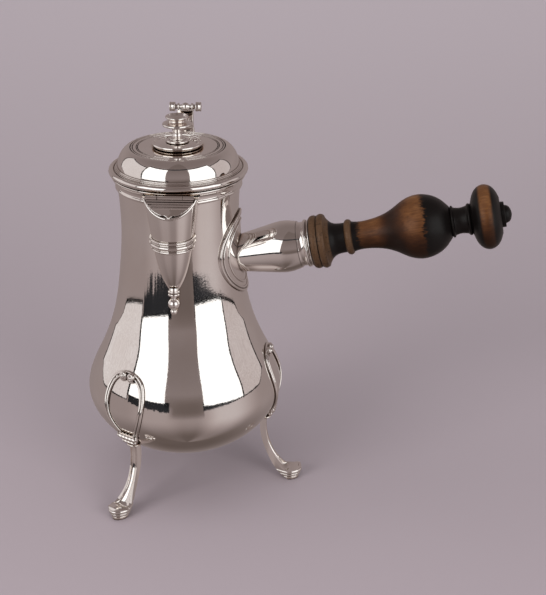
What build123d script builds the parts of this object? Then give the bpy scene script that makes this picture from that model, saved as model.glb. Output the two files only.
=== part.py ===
from build123d import *

import os
from math import asin, cos, radians, sin, sqrt, tan

os.makedirs("parts", exist_ok=True)

# A silver chocolate pot on three legs, with a turned wooden side handle.
# Millimetres. The pot's own axis is Z and the table is z = 0. The spout looks along -Y,
# the lid's hinge stands at +Y and the handle leaves towards +X. At the very end each
# piece is moved sideways, so that the finished part stands in the middle of its frame.

# ---------------------------------------------------------------- driving sizes
# where the pot's axis stands in the finished part's frame
pot_x = -66.91
pot_y = -1.48

# pear-shaped body, raised from one sheet
wall = 1.2
base_height = 26.6
bowl_radius = 37.0
bowl_height = 34.6
belly_radius = 59.0
belly_height = 66.0
shoulder_radius = 50.2
shoulder_height = 91.0
throat_radius = 40.4
throat_height = 118.5
neck_radius = 36.5
neck_height = 144.0
waist_radius = 34.7
waist_height = 166.0
mouth_radius = 36.2
mouth_height = 201.0
pear_steps = 44

# moulded rim round the mouth
rim_bead_height = 194.3
rim_bead_radius = 1.2
rim_lip_radius = 39.0
rim_lip_thickness = 1.6

# lid: a raised dome on a moulded flange, with a bezel that drops into the mouth
lid_gap = 0.3
flange_radius = 40.5
flange_under_radius = 38.4
flange_under_rise = 1.3
flange_edge = 1.5
flange_bead_radius = 1.4
flange_floor = 1.7
dome_foot_radius = 35.4
dome_side_height = 207.4
dome_shoulder_radius = 33.4
dome_shoulder_height = 212.4
dome_top_radius = 27.6
dome_top_height = 216.6
dome_wall = 1.1
bezel_clearance = 0.45
bezel_depth = 5.0
bezel_wall = 1.0

# stirrer hole and the disc that swivels over it
hole_radius = 8.0
collar_wall = 1.2
collar_length = 4.0
cover_radius = 15.0
cover_foot_radius = 13.9
cover_foot_thickness = 1.1
cover_edge_thickness = 1.5
cover_dish_radius = 13.2
cover_dish_depth = 0.5
cover_lift = 0.3
pivot_reach = 11.6
pivot_radius = 0.9
pivot_head_radius = 1.4
pivot_head_thickness = 0.6

# finial on the disc
finial_height = 15.6
finial_cap_radius = 6.5
finial_dish_depth = 0.9
finial_lip_radius = 8.3
finial_lip_height = 11.6
finial_stem_radius = 2.6
finial_stem_height = 6.0
finial_base_radius = 6.7
finial_base_thickness = 1.8
finial_tenon_radius = 2.0

# lid hinge
hinge_reach = 44.6
hinge_height = 202.6
hinge_barrel_radius = 2.4
hinge_pin_radius = 1.0
running_clearance = 0.05
hinge_gap = 0.3
knuckle_count = 5
knuckle_length = 4.0
knuckle_gap = 0.2
leaf_drop = 14.0
leaf_rise = 5.0
leaf_grip = 8.7

# thumb piece
thumb_height = 228.2
thumb_reach = 41.0
thumb_base_width = 12.0
thumb_waist_width = 9.2
thumb_waist_height = 217.0
thumb_top_width = 10.4
thumb_post_thickness = 3.0
thumb_bar_length = 18.8
thumb_drum_radius = 2.85
thumb_drum_length = 3.3
thumb_bar_radius = 1.4
thumb_ball_radius = 2.3
thumb_ring_radius = 2.2
thumb_ring_length = 1.0
thumb_ring_reach = 4.1

# spout: a half goblet standing against the neck, with a sloping mouth
beak_axis = 35.0
beak_top_height = 198.7
beak_top_radius = 15.5
beak_cup_radius = 14.0
beak_cup_height = 188.0
beak_waist_radius = 11.5
beak_waist_height = 171.0
beak_lower_radius = 8.1
beak_lower_height = 154.0
beak_toe_radius = 5.9
beak_toe_height = 147.6
beak_tip_radius = 3.2
beak_tip_height = 142.0
beak_tip_floor = 2.2
beak_wall = 1.1
mouth_slope = 45.0
lip_overhang = 0.7
lip_thickness = 1.2
bridge_thickness = 1.3
bridge_reach = 40.4
neck_hole_width = 16.0
neck_hole_height = 24.0
neck_hole_middle = 173.0

# beaded band and hanging drop of the spout
band_height = 171.0
band_width = 7.4
band_thickness = 0.6
band_bead_radius = 1.2
band_side_bead_radius = 0.8
drop_lean = 12.0
drop_reach = 38.0
drop_ring_radius = 3.3
drop_ring_thickness = 1.7
drop_neck_radius = 1.7
drop_ball_radius = 3.3
drop_ball_at = 7.9
drop_tip_radius = 2.0
drop_tip_at = 12.4

# hinged flap in the spout's mouth
flap_hinge_reach = 41.5
flap_hinge_height = 199.3
flap_barrel_radius = 1.25
flap_pin_radius = 0.55
flap_width = 27.4
flap_knuckle = 14.2
flap_thickness = 0.9
flap_gap = 0.3
flap_shoulder_width = 20.6
flap_shoulder_at = 5.6
flap_cusp_width = 4.6
flap_cusp_at = 9.8
flap_length = 12.2
flap_reed_radius = 0.62
flap_reed_first = 2.45
flap_reed_pitch = 1.55
flap_reed_lengths = (26.0, 23.6, 20.4)

# handle: plate on the neck, socket, wooden grip
handle_turn = -2.5
handle_rise = 11.0
handle_root_height = 144.4
plate_centre_height = 153.7
plate_radius = 24.6
plate_ring_radius = 19.2
plate_thickness = 1.0
plate_bead_height = 0.8
plate_bead_width = 1.1
plate_bead_pitch = 1.7
socket_root_radius = 11.1
socket_swell_radius = 15.2
socket_swell_at = 65.0
socket_end_radius = 13.8
socket_end = 72.2
socket_wall = 1.2
ring_neck_radius = 12.9
ring_bead_radius = 14.0
ring_bead_at = 76.9
ring_bead_width = 2.0
ring_end = 79.8
grip_gap = 0.2
tenon_length = 26.0
tenon_radius = 11.4
tenon_clearance = 0.1
shoulder_radius_outer = 16.1
shoulder_ring_radius = 15.6
shoulder_width = 4.2
grip_neck_radius = 8.8
grip_neck_at = 96.5
grip_ring_radius = 10.4
grip_ring_at = 102.0
grip_ring_width = 3.4
grip_stem_radius = 8.2
grip_stem_at = 111.0
bulb_radius = 18.7
bulb_at = 144.0
reel_radius = 7.5
reel_at = 167.2
reel_ring_radius = 9.3
reel_ring_width = 1.9
reel_start = 161.6
reel_end = 173.3
knob_radius = 18.9
knob_at = 182.0
knob_end = 190.4
knob_half = 4.4
knob_round = 5.6
knob_step = 2.8
button_radius = 7.4
button_length = 2.2
button_tip_radius = 5.4
grip_end = 196.5
pin_at = 60.5
pin_turn = 45.0
handle_pin_radius = 1.3

# legs
leg_spacing = 120.0
pad_start = 64.6
pad_end = 70.4
toe_reach = 72.8
toe_half_width = 6.9
toe_height = 8.8
toe_front_height = 4.6
knee_reach = 46.8
knee_height = 36.0
calf_reach = 51.2
calf_height = 17.5
shank_half_width = 3.2
shank_thickness = 4.1
leg_top_rise = 3.5
toe_spread_start = 54.5
toe_spread_end = 64.5
flute_depth = 0.8
flute_edge = 1.1
toe_groove_depth = 0.5
toe_groove_width = 0.7
toe_groove_heights = (3.5, 5.9)
frame_rise = 26.6
frame_fall = 19.5
frame_bottom_half_width = 5.0
frame_half_width = 14.6
frame_wide_rise = 9.0
frame_top_drop = 3.4
frame_width = 3.1
frame_thickness = 1.7
volute_radius = 2.6
volute_drop = 3.0
crossbar_rise = 2.1
crossbar_reach = 52.6
crossbar_length = 15.0
crossbar_radius = 2.2


def hand_in(piece, name):
    """Move a finished piece into the part's frame, label it and write its STEP file."""
    placed = Pos(pot_x, pot_y, 0) * piece
    placed.label = name
    export_step(placed, f"parts/{name}.step")


def crosswise_rod(radius, length, centre):
    """A round rod along X, centred on a point."""
    with BuildPart() as rod:
        with BuildSketch(Plane.YZ.offset(centre[0] - length / 2)):
            with Locations((centre[1], centre[2])):
                Circle(radius)
        extrude(amount=length)
    return rod.part


def slab_across(outline, width):
    """A slab whose side view in the YZ plane is a closed outline, centred on x = 0."""
    with BuildPart() as slab:
        with BuildSketch(Plane.YZ):
            with BuildLine():
                Polyline(*outline, close=True)
            make_face()
        extrude(amount=width / 2, both=True)
    return slab.part


# ---------------------------------------------------------------- pear-shaped body
pear_line = Spline(
    (0, base_height),
    (bowl_radius, bowl_height),
    (belly_radius, belly_height),
    (shoulder_radius, shoulder_height),
    (throat_radius, throat_height),
    (neck_radius, neck_height),
    (waist_radius, waist_height),
    (mouth_radius, mouth_height),
    tangents=((1, 0), (0.08, 1)),
    tangent_scalars=(1, 1),
)


def pear_points(outward):
    """The pear's outline from the base up, moved outward along its own normals."""
    points = []
    for step in range(pear_steps + 1):
        at = pear_line.position_at(step / pear_steps)
        along = pear_line.tangent_at(step / pear_steps)
        points.append((max(at.X + outward * along.Y, 0), at.Y - outward * along.X))
    return points


patch_spread = 50
# a turned piece is drawn on a plane away from everything that is fixed to it
seam_turn = radians(60)
seam_plane = Plane(
    origin=(0, 0, 0),
    x_dir=(cos(seam_turn), sin(seam_turn), 0),
    z_dir=(sin(seam_turn), -cos(seam_turn), 0),
)


def pear_outline(outward):
    """Draws one closed half outline of the pear, flat at the mouth."""
    points = pear_points(outward)
    side = Spline(*points, tangents=((1, 0), (0.08, 1)), tangent_scalars=(1, 1))
    top = Line(side @ 1, (0, (side @ 1).Y))
    Line(top @ 1, points[0])


def pear_solid(outward):
    """The whole pear, grown or shrunk by one thickness."""
    with BuildPart() as pear:
        with BuildSketch(seam_plane):
            with BuildLine():
                pear_outline(outward)
            make_face()
        revolve(axis=Axis.Z)
    return pear.part


def pear_patch(inner, outer, low, high, azimuth):
    """The skin between two growths of the pear, over a band of heights, round one azimuth."""
    start = radians(azimuth - patch_spread)
    start_plane = Plane(
        origin=(0, 0, 0), x_dir=(cos(start), sin(start), 0), z_dir=(sin(start), -cos(start), 0)
    )
    with BuildPart() as patch:
        with BuildSketch(start_plane):
            with BuildLine():
                pear_outline(outer)
            make_face()
            with BuildLine():
                pear_outline(inner)
            make_face(mode=Mode.SUBTRACT)
            with Locations((belly_radius, (low + high) / 2)):
                Rectangle(belly_radius, high - low, mode=Mode.INTERSECT)
        revolve(axis=Axis.Z, revolution_arc=2 * patch_spread)
    return patch.part


def pear_radius(outward, height):
    """The pear's radius at one height above the belly."""
    points = pear_points(outward)
    for low, high in zip(points, points[1:]):
        if low[1] <= height <= high[1]:
            share = (height - low[1]) / (high[1] - low[1])
            return low[0] + share * (high[0] - low[0])
    return points[-1][0]


pear = pear_solid(0)
pear_inside = pear_solid(-wall)

with BuildPart() as body_shell:
    add(pear)
    add(pear_inside, mode=Mode.SUBTRACT)
    # the inside stops short of the mouth by the turned-in normals, so it is opened here
    with BuildSketch(Plane.XY.offset(mouth_height - bezel_depth)):
        Circle(pear_radius(-wall, mouth_height - bezel_depth))
    extrude(amount=2 * bezel_depth, mode=Mode.SUBTRACT)
    # the opening behind the spout
    with BuildSketch(Plane.XZ.offset(waist_radius / 2)):
        with Locations((0, neck_hole_middle)):
            RectangleRounded(neck_hole_width, neck_hole_height, neck_hole_width / 3)
    extrude(amount=waist_radius, mode=Mode.SUBTRACT)
hand_in(body_shell.part, "body_shell")

# ---------------------------------------------------------------- moulded rim
rim_core_radius = pear_radius(0, rim_bead_height) + 0.3
rim_bead_low = rim_bead_height - rim_bead_radius
rim_bead_high = rim_bead_height + rim_bead_radius
rim_lip_low = mouth_height - rim_lip_thickness

with BuildPart() as rim_moulding:
    with BuildSketch(Plane.XZ):
        with BuildLine():
            Line((waist_radius / 2, rim_bead_low), (rim_core_radius, rim_bead_low))
            ThreePointArc(
                (rim_core_radius, rim_bead_low),
                (rim_core_radius + rim_bead_radius, rim_bead_height),
                (rim_core_radius, rim_bead_high),
            )
            Bezier(
                (rim_core_radius, rim_bead_high),
                (rim_core_radius, rim_lip_low),
                (rim_lip_radius, rim_lip_low),
            )
            Polyline(
                (rim_lip_radius, rim_lip_low),
                (rim_lip_radius, mouth_height),
                (waist_radius / 2, mouth_height),
                (waist_radius / 2, rim_bead_low),
            )
        make_face()
    revolve(axis=Axis.Z)
    rim_solid = rim_moulding.part
    add(pear, mode=Mode.SUBTRACT)
    with BuildSketch(Plane.XY.offset(rim_bead_low - 1)):
        Circle(pear_radius(-wall, mouth_height - bezel_depth))
    extrude(amount=mouth_height, mode=Mode.SUBTRACT)
hand_in(rim_moulding.part, "rim_moulding")

# ---------------------------------------------------------------- lid
lid_seat = mouth_height + lid_gap
flange_top = lid_seat + flange_under_rise + flange_edge
dome_foot_height = lid_seat + flange_floor
bezel_radius = pear_radius(-wall, mouth_height - bezel_depth) - bezel_clearance
bead_middle = flange_radius - 0.6 - flange_bead_radius

with BuildPart() as lid_rim:
    with BuildSketch(Plane.XZ):
        with BuildLine():
            Polyline(
                (bead_middle - flange_bead_radius, flange_top),
                (dome_foot_radius, flange_top),
                (dome_foot_radius, dome_foot_height),
                (bezel_radius - bezel_wall, dome_foot_height),
                (bezel_radius - bezel_wall, lid_seat),
                (flange_under_radius, lid_seat),
                (flange_radius, lid_seat + flange_under_rise),
                (flange_radius, flange_top),
                (bead_middle + flange_bead_radius, flange_top),
            )
            ThreePointArc(
                (bead_middle - flange_bead_radius, flange_top),
                (bead_middle, flange_top + flange_bead_radius),
                (bead_middle + flange_bead_radius, flange_top),
            )
        make_face()
    revolve(axis=Axis.Z)
hand_in(lid_rim.part, "lid_rim")

with BuildPart() as lid_bezel:
    with BuildSketch(Plane.XY.offset(lid_seat - bezel_depth)):
        Circle(bezel_radius)
        Circle(bezel_radius - bezel_wall, mode=Mode.SUBTRACT)
    extrude(amount=bezel_depth)
hand_in(lid_bezel.part, "lid_bezel")

# the dome stands upright inside the flange, then its line runs over the shoulder
dome_outline = (
    (dome_foot_radius, flange_top),
    (dome_foot_radius - 0.3, dome_side_height),
    (dome_shoulder_radius, dome_shoulder_height),
    (dome_top_radius, dome_top_height),
)
dome_line = Spline(*dome_outline, tangents=((0, 1), (-1, 0)), tangent_scalars=(1, 1))
dome_steps = 16
dome_inner = []
for step in range(dome_steps + 1):
    at = dome_line.position_at(step / dome_steps)
    along = dome_line.tangent_at(step / dome_steps)
    dome_inner.append((at.X - dome_wall * along.Y, at.Y + dome_wall * along.X))

collar_radius = hole_radius + collar_wall
rivet_low = dome_top_height - dome_wall - pivot_head_thickness
cover_foot_height = dome_top_height + cover_lift
cover_top_height = cover_foot_height + cover_foot_thickness + cover_edge_thickness
cover_floor_height = cover_top_height - cover_dish_depth

with BuildPart() as lid_dome:
    with BuildSketch(Plane.XZ):
        with BuildLine():
            outer = Spline(*dome_outline, tangents=((0, 1), (-1, 0)), tangent_scalars=(1, 1))
            inner = Spline(*dome_inner, tangents=((0, 1), (-1, 0)), tangent_scalars=(1, 1))
            Polyline(
                outer @ 0,
                (dome_foot_radius, dome_foot_height),
                (dome_foot_radius - dome_wall, dome_foot_height),
                inner @ 0,
            )
            Polyline(
                outer @ 1,
                (collar_radius, dome_top_height),
                (collar_radius, dome_top_height - dome_wall),
                inner @ 1,
            )
        make_face()
    revolve(axis=Axis.Z)
    with BuildSketch(Plane.XY.offset(dome_top_height)):
        with Locations((pivot_reach, 0)):
            Circle(pivot_radius)
    extrude(amount=-2 * dome_wall, mode=Mode.SUBTRACT)
hand_in(lid_dome.part, "lid_dome")

with BuildPart() as stirrer_hole_collar:
    with BuildSketch(Plane.XY.offset(dome_top_height)):
        Circle(collar_radius)
        Circle(hole_radius, mode=Mode.SUBTRACT)
    extrude(amount=-collar_length)
hand_in(stirrer_hole_collar.part, "stirrer_hole_collar")

# ---------------------------------------------------------------- swivelling cover
cover_edge_height = cover_foot_height + cover_foot_thickness

with BuildPart() as stirrer_cover:
    with BuildSketch(Plane.XZ):
        with BuildLine():
            foot_half = cover_foot_thickness / 2
            edge_half = cover_edge_thickness / 2
            Polyline(
                (0, cover_foot_height),
                (cover_foot_radius - foot_half, cover_foot_height),
            )
            ThreePointArc(
                (cover_foot_radius - foot_half, cover_foot_height),
                (cover_foot_radius, cover_foot_height + foot_half),
                (cover_foot_radius - foot_half, cover_edge_height),
            )
            Line(
                (cover_foot_radius - foot_half, cover_edge_height),
                (cover_radius - edge_half, cover_edge_height),
            )
            ThreePointArc(
                (cover_radius - edge_half, cover_edge_height),
                (cover_radius, cover_edge_height + edge_half),
                (cover_radius - edge_half, cover_top_height),
            )
            Polyline(
                (cover_radius - edge_half, cover_top_height),
                (cover_dish_radius, cover_top_height),
                (cover_dish_radius, cover_floor_height),
                (0, cover_floor_height),
                (0, cover_foot_height),
            )
        make_face()
    revolve(axis=Axis.Z)
    with BuildSketch(Plane.XY.offset(cover_top_height)):
        Circle(finial_tenon_radius)
        with Locations((pivot_reach, 0)):
            Circle(pivot_radius + running_clearance)
    extrude(amount=-2 * (cover_top_height - cover_foot_height), mode=Mode.SUBTRACT)
    with BuildSketch(Plane.XY.offset(cover_top_height)):
        with Locations((pivot_reach, 0)):
            Circle(pivot_head_radius + 2 * running_clearance)
    extrude(
        amount=-(cover_dish_depth + pivot_head_thickness + running_clearance),
        mode=Mode.SUBTRACT,
    )
hand_in(stirrer_cover.part, "stirrer_cover")

# the rivet is headed under the dome and flush in the disc
with BuildPart() as swivel_pivot:
    with BuildSketch(Plane.XY.offset(rivet_low)):
        with Locations((pivot_reach, 0)):
            Circle(pivot_head_radius)
    extrude(amount=pivot_head_thickness)
    with BuildSketch(Plane.XY.offset(rivet_low)):
        with Locations((pivot_reach, 0)):
            Circle(pivot_radius)
    extrude(amount=cover_floor_height - rivet_low)
    with BuildSketch(Plane.XY.offset(cover_floor_height)):
        with Locations((pivot_reach, 0)):
            Circle(pivot_head_radius)
    extrude(amount=-pivot_head_thickness)
hand_in(swivel_pivot.part, "swivel_pivot")

finial_foot = cover_floor_height
finial_lip = finial_foot + finial_lip_height
finial_top = finial_foot + finial_height
finial_waist = finial_foot + finial_stem_height

with BuildPart() as finial:
    with BuildSketch(Plane.XZ):
        with BuildLine():
            base_half = finial_base_thickness / 2
            Polyline(
                (0, finial_foot),
                (0, cover_foot_height),
                (finial_tenon_radius, cover_foot_height),
                (finial_tenon_radius, finial_foot),
                (finial_base_radius - base_half, finial_foot),
            )
            ThreePointArc(
                (finial_base_radius - base_half, finial_foot),
                (finial_base_radius, finial_foot + base_half),
                (finial_base_radius - base_half, finial_foot + finial_base_thickness),
            )
            stem = Spline(
                (finial_base_radius - base_half, finial_foot + finial_base_thickness),
                (finial_stem_radius, finial_waist),
                (finial_lip_radius - 0.8, finial_lip - 0.9),
            )
            lip = ThreePointArc(
                stem @ 1,
                (finial_lip_radius, finial_lip),
                (finial_lip_radius - 0.9, finial_lip + 0.9),
            )
            cup = Spline(
                lip @ 1,
                (finial_cap_radius - 1.0, finial_lip + 1.9),
                (finial_cap_radius, finial_top - 0.5),
            )
            edge = ThreePointArc(
                cup @ 1,
                (finial_cap_radius - 0.4, finial_top),
                (finial_cap_radius - 0.9, finial_top - 0.3),
            )
            dish = Spline(
                edge @ 1,
                (0, finial_top - finial_dish_depth),
                tangents=((-1, -0.4), (-1, 0)),
                tangent_scalars=(1, 1),
            )
            Line(dish @ 1, (0, finial_foot))
        make_face()
    revolve(axis=Axis.Z)
hand_in(finial.part, "finial")

# ---------------------------------------------------------------- lid hinge
hinge_length = knuckle_count * knuckle_length + (knuckle_count - 1) * knuckle_gap
knuckle_pitch = knuckle_length + knuckle_gap
hinge_start = -hinge_length / 2
hinge_sweep = hinge_barrel_radius + hinge_gap


def hinge_rods(radius, odd, margin):
    """Every second knuckle's length of rod on the hinge's axis, each end longer by margin."""
    with BuildPart() as rods:
        for number in range(odd, knuckle_count, 2):
            start = hinge_start + number * knuckle_pitch - margin
            with BuildSketch(Plane.YZ.offset(start)):
                with Locations((hinge_reach, hinge_height)):
                    Circle(radius)
            extrude(amount=knuckle_length + 2 * margin)
    return rods.part


hinge_bore = crosswise_rod(
    hinge_pin_radius + running_clearance, hinge_length + 2, (0, hinge_reach, hinge_height)
)
leaf_low = mouth_height - leaf_drop
leaf_back = hinge_reach + hinge_barrel_radius * cos(radians(40))

# the body's leaf: a bracket under the rim that carries the outer and middle knuckles
with BuildPart() as hinge_body_leaf:
    add(
        slab_across(
            [
                (waist_radius / 2, mouth_height - 0.4),
                (hinge_reach - hinge_barrel_radius, mouth_height - 0.4),
                (hinge_reach, hinge_height),
                (leaf_back, hinge_height - hinge_barrel_radius * sin(radians(40))),
                (leaf_back - 0.6, hinge_height - 2 * hinge_barrel_radius),
                (waist_radius + 2, leaf_low),
                (waist_radius / 2, leaf_low),
            ],
            hinge_length,
        )
    )
    add(pear, mode=Mode.SUBTRACT)
    add(rim_solid, mode=Mode.SUBTRACT)
    add(hinge_rods(hinge_sweep, 1, knuckle_gap), mode=Mode.SUBTRACT)
    add(hinge_rods(hinge_barrel_radius, 0, 0))
    add(hinge_bore, mode=Mode.SUBTRACT)
hand_in(hinge_body_leaf.part, "hinge_body_leaf")

# the lid's leaf lies on the flange against the dome and carries the other two knuckles
leaf_top = flange_top + leaf_rise
leaf_front = hinge_reach - leaf_grip
with BuildPart() as lid_hinge_leaf:
    add(
        slab_across(
            [
                (leaf_front, flange_top),
                (leaf_front, leaf_top),
                (hinge_reach - 1.6, leaf_top),
                (hinge_reach + 0.4, hinge_height + hinge_barrel_radius),
                (hinge_reach, hinge_height),
                (flange_radius + hinge_gap, hinge_height),
                (flange_radius + hinge_gap, flange_top),
            ],
            hinge_length,
        )
    )
    add(lid_rim.part, mode=Mode.SUBTRACT)
    with BuildSketch(Plane.XY.offset(lid_seat)):
        Circle(dome_foot_radius)
    extrude(amount=dome_top_height - lid_seat, mode=Mode.SUBTRACT)
    add(hinge_rods(hinge_sweep, 0, knuckle_gap), mode=Mode.SUBTRACT)
    add(hinge_rods(hinge_barrel_radius, 1, 0))
    add(hinge_bore, mode=Mode.SUBTRACT)
hand_in(lid_hinge_leaf.part, "lid_hinge_leaf")

hinge_pin = crosswise_rod(hinge_pin_radius, hinge_length, (0, hinge_reach, hinge_height))
hand_in(hinge_pin, "hinge_pin")

# ---------------------------------------------------------------- thumb piece
bar_half = thumb_bar_length / 2
drum_inner = bar_half - thumb_drum_length
ring_inner = thumb_ring_reach - thumb_ring_length / 2
ring_outer = thumb_ring_reach + thumb_ring_length / 2
ball_end = sqrt(thumb_ball_radius**2 - thumb_bar_radius**2)
bar_side = Plane(origin=(0, thumb_reach, thumb_height), x_dir=(1, 0, 0), z_dir=(0, -1, 0))

# the bar is turned: a ball in the middle, a ring each side of it and a drum at each end
with BuildPart() as thumb_bar:
    with BuildSketch(bar_side):
        with BuildLine():
            ThreePointArc(
                (-ball_end, thumb_bar_radius), (0, thumb_ball_radius), (ball_end, thumb_bar_radius)
            )
            for side in (-1, 1):
                Polyline(
                    (side * ball_end, thumb_bar_radius),
                    (side * ring_inner, thumb_bar_radius),
                    (side * ring_inner, thumb_ring_radius),
                    (side * ring_outer, thumb_ring_radius),
                    (side * ring_outer, thumb_bar_radius),
                    (side * drum_inner, thumb_bar_radius),
                    (side * drum_inner, thumb_drum_radius),
                    (side * bar_half, thumb_drum_radius),
                    (side * bar_half, 0),
                    (0, 0),
                )
        make_face()
    revolve(axis=Axis((0, thumb_reach, thumb_height), (1, 0, 0)))
hand_in(thumb_bar.part, "thumb_bar")

# the post that carries it spreads at its foot and its head
with BuildPart() as thumb_post:
    with BuildSketch(Plane.XZ.offset(-thumb_reach)):
        with BuildLine():
            left = Spline(
                (-thumb_base_width / 2, leaf_top),
                (-thumb_waist_width / 2, thumb_waist_height),
                (-thumb_top_width / 2, thumb_height),
            )
            right = Spline(
                (thumb_base_width / 2, leaf_top),
                (thumb_waist_width / 2, thumb_waist_height),
                (thumb_top_width / 2, thumb_height),
            )
            Line(left @ 0, right @ 0)
            Line(left @ 1, right @ 1)
        make_face()
    extrude(amount=thumb_post_thickness / 2, both=True)
    add(thumb_bar.part, mode=Mode.SUBTRACT)
hand_in(thumb_post.part, "thumb_post")

# ---------------------------------------------------------------- spout
beak_outline = (
    (beak_tip_radius, beak_tip_height),
    (beak_toe_radius, beak_toe_height),
    (beak_lower_radius, beak_lower_height),
    (beak_waist_radius, beak_waist_height),
    (beak_cup_radius, beak_cup_height),
    (beak_top_radius, beak_top_height),
)
beak_side = Plane(origin=(0, -beak_axis, 0), x_dir=(1, 0, 0), z_dir=(0, -1, 0))
beak_centre_line = Axis((0, -beak_axis, 0), (0, 0, 1))
beak_line = Spline(*beak_outline)


def beak_solid(outward, floor):
    """The goblet that the spout is half of, grown or shrunk, from one height up."""
    points = [(radius + outward, height) for radius, height in beak_outline]
    with BuildPart() as goblet:
        with BuildSketch(beak_side):
            with BuildLine():
                side = Spline(*points)
                Polyline(side @ 1, (0, (side @ 1).Y), (0, beak_tip_height), side @ 0)
            make_face()
        revolve(axis=beak_centre_line)
        split(bisect_by=Plane.XY.offset(floor), keep=Keep.TOP)
    return goblet.part


def beak_radius(height):
    """The goblet's radius at one height."""
    low = 0.0
    high = 1.0
    for _ in range(30):
        middle = (low + high) / 2
        if beak_line.position_at(middle).Y < height:
            low = middle
        else:
            high = middle
    return beak_line.position_at(low).X


slope_down = tan(radians(mouth_slope))
slope_thick = 1 / cos(radians(mouth_slope))
slope_run = 2 * beak_top_radius
bridge_low = beak_top_height - bridge_thickness


def above_mouth(lowered):
    """Everything above the sloping mouth, lowered by one distance along its normal."""
    start = beak_top_height - lowered * slope_thick
    return slab_across(
        [
            (-bridge_reach, start),
            (-bridge_reach - slope_run, start - slope_run * slope_down),
            (-bridge_reach - slope_run, start + slope_run),
            (-bridge_reach, start + slope_run),
        ],
        4 * beak_top_radius,
    )


beak_inside = beak_solid(-beak_wall, beak_tip_height + beak_tip_floor)

with BuildPart() as spout_beak:
    add(beak_solid(0, beak_tip_height))
    add(beak_inside, mode=Mode.SUBTRACT)
    add(pear, mode=Mode.SUBTRACT)
    add(rim_solid, mode=Mode.SUBTRACT)
    add(above_mouth(lip_thickness), mode=Mode.SUBTRACT)
    with BuildSketch(Plane.XY.offset(bridge_low)):
        Rectangle(4 * beak_top_radius, 4 * beak_axis)
    extrude(amount=2 * bridge_thickness, mode=Mode.SUBTRACT)
hand_in(spout_beak.part, "spout_beak")

with BuildPart() as spout_lip:
    add(beak_solid(lip_overhang, beak_tip_height))
    add(beak_inside, mode=Mode.SUBTRACT)
    add(above_mouth(lip_thickness), mode=Mode.INTERSECT)
    add(above_mouth(0), mode=Mode.SUBTRACT)
hand_in(spout_lip.part, "spout_lip")

# a fixed strip closes the spout between rim and flap, and carries the outer knuckles
flap_axis_point = (0, -flap_hinge_reach, flap_hinge_height)
flap_sweep = flap_barrel_radius + flap_gap
flap_half = flap_width / 2
knuckle_half = flap_knuckle / 2
outer_knuckle = flap_half - knuckle_half - knuckle_gap
flap_bore = crosswise_rod(flap_pin_radius + running_clearance, flap_width + 2, flap_axis_point)
mouth_under_hinge = beak_top_height - (flap_hinge_reach - bridge_reach) * slope_down
knuckle_foot = [
    (-bridge_reach + bridge_thickness, bridge_low),
    (-bridge_reach, bridge_low),
    (-bridge_reach, beak_top_height),
    (-flap_hinge_reach, mouth_under_hinge),
    (-flap_hinge_reach, flap_hinge_height),
    (-bridge_reach + bridge_thickness, flap_hinge_height),
]

with BuildPart() as spout_bridge:
    add(beak_solid(lip_overhang, bridge_low))
    with BuildSketch(Plane.XY.offset(bridge_low)):
        with Locations((0, -bridge_reach / 2)):
            Rectangle(4 * beak_top_radius, bridge_reach)
    extrude(amount=bridge_thickness, mode=Mode.INTERSECT)
    add(pear, mode=Mode.SUBTRACT)
    add(rim_solid, mode=Mode.SUBTRACT)
    add(
        crosswise_rod(flap_sweep, flap_knuckle + 2 * knuckle_gap, flap_axis_point),
        mode=Mode.SUBTRACT,
    )
    for side in (-1, 1):
        middle = side * (flap_half - outer_knuckle / 2)
        with Locations((middle, 0, 0)):
            add(slab_across(knuckle_foot, outer_knuckle))
        add(
            crosswise_rod(
                flap_barrel_radius, outer_knuckle, (middle, -flap_hinge_reach, flap_hinge_height)
            )
        )
    add(flap_bore, mode=Mode.SUBTRACT)
hand_in(spout_bridge.part, "spout_bridge")

flap_pin = crosswise_rod(flap_pin_radius, flap_width, flap_axis_point)
hand_in(flap_pin, "flap_pin")

# the flap's own plane lies a gap above the mouth: X across, Y down the slope from the hinge
flap_plane = Plane(
    origin=(0, -flap_hinge_reach, mouth_under_hinge + flap_gap * slope_thick),
    x_dir=(-1, 0, 0),
    z_dir=(0, -sin(radians(mouth_slope)), cos(radians(mouth_slope))),
)
flap_clear = flap_sweep + flap_thickness

with BuildPart() as spout_flap:
    with BuildSketch(flap_plane) as flap_shape:
        with BuildLine():
            for side in (-1, 1):
                edge = ThreePointArc(
                    (side * flap_half, flap_clear),
                    (side * flap_shoulder_width / 2, flap_shoulder_at),
                    (side * flap_cusp_width / 2, flap_cusp_at),
                )
                Bezier(
                    edge @ 1,
                    (side * flap_cusp_width / 6, flap_cusp_at + 0.3),
                    (0, flap_length),
                )
            Line((-flap_half, flap_clear), (flap_half, flap_clear))
        make_face()
    extrude(amount=flap_thickness)
    with BuildSketch(flap_plane):
        with Locations((0, flap_clear / 2)):
            Rectangle(flap_knuckle, flap_clear)
    extrude(amount=flap_thickness)
    add(crosswise_rod(flap_barrel_radius, flap_knuckle, flap_axis_point))
    add(flap_bore, mode=Mode.SUBTRACT)
    # three reeds cross the flap below its hinge
    for number, reed_length in enumerate(flap_reed_lengths):
        down = flap_reed_first + number * flap_reed_pitch
        reed_centre = flap_plane.from_local_coords((0, down, flap_thickness))
        add(crosswise_rod(flap_reed_radius, reed_length, tuple(reed_centre)))
hand_in(spout_flap.part, "spout_flap")

# the beaded band round the spout's waist
band_low = band_height - band_width / 2
band_high = band_height + band_width / 2
band_core = beak_radius(band_height) + band_thickness
side_bead = band_width / 2 - band_side_bead_radius

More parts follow.
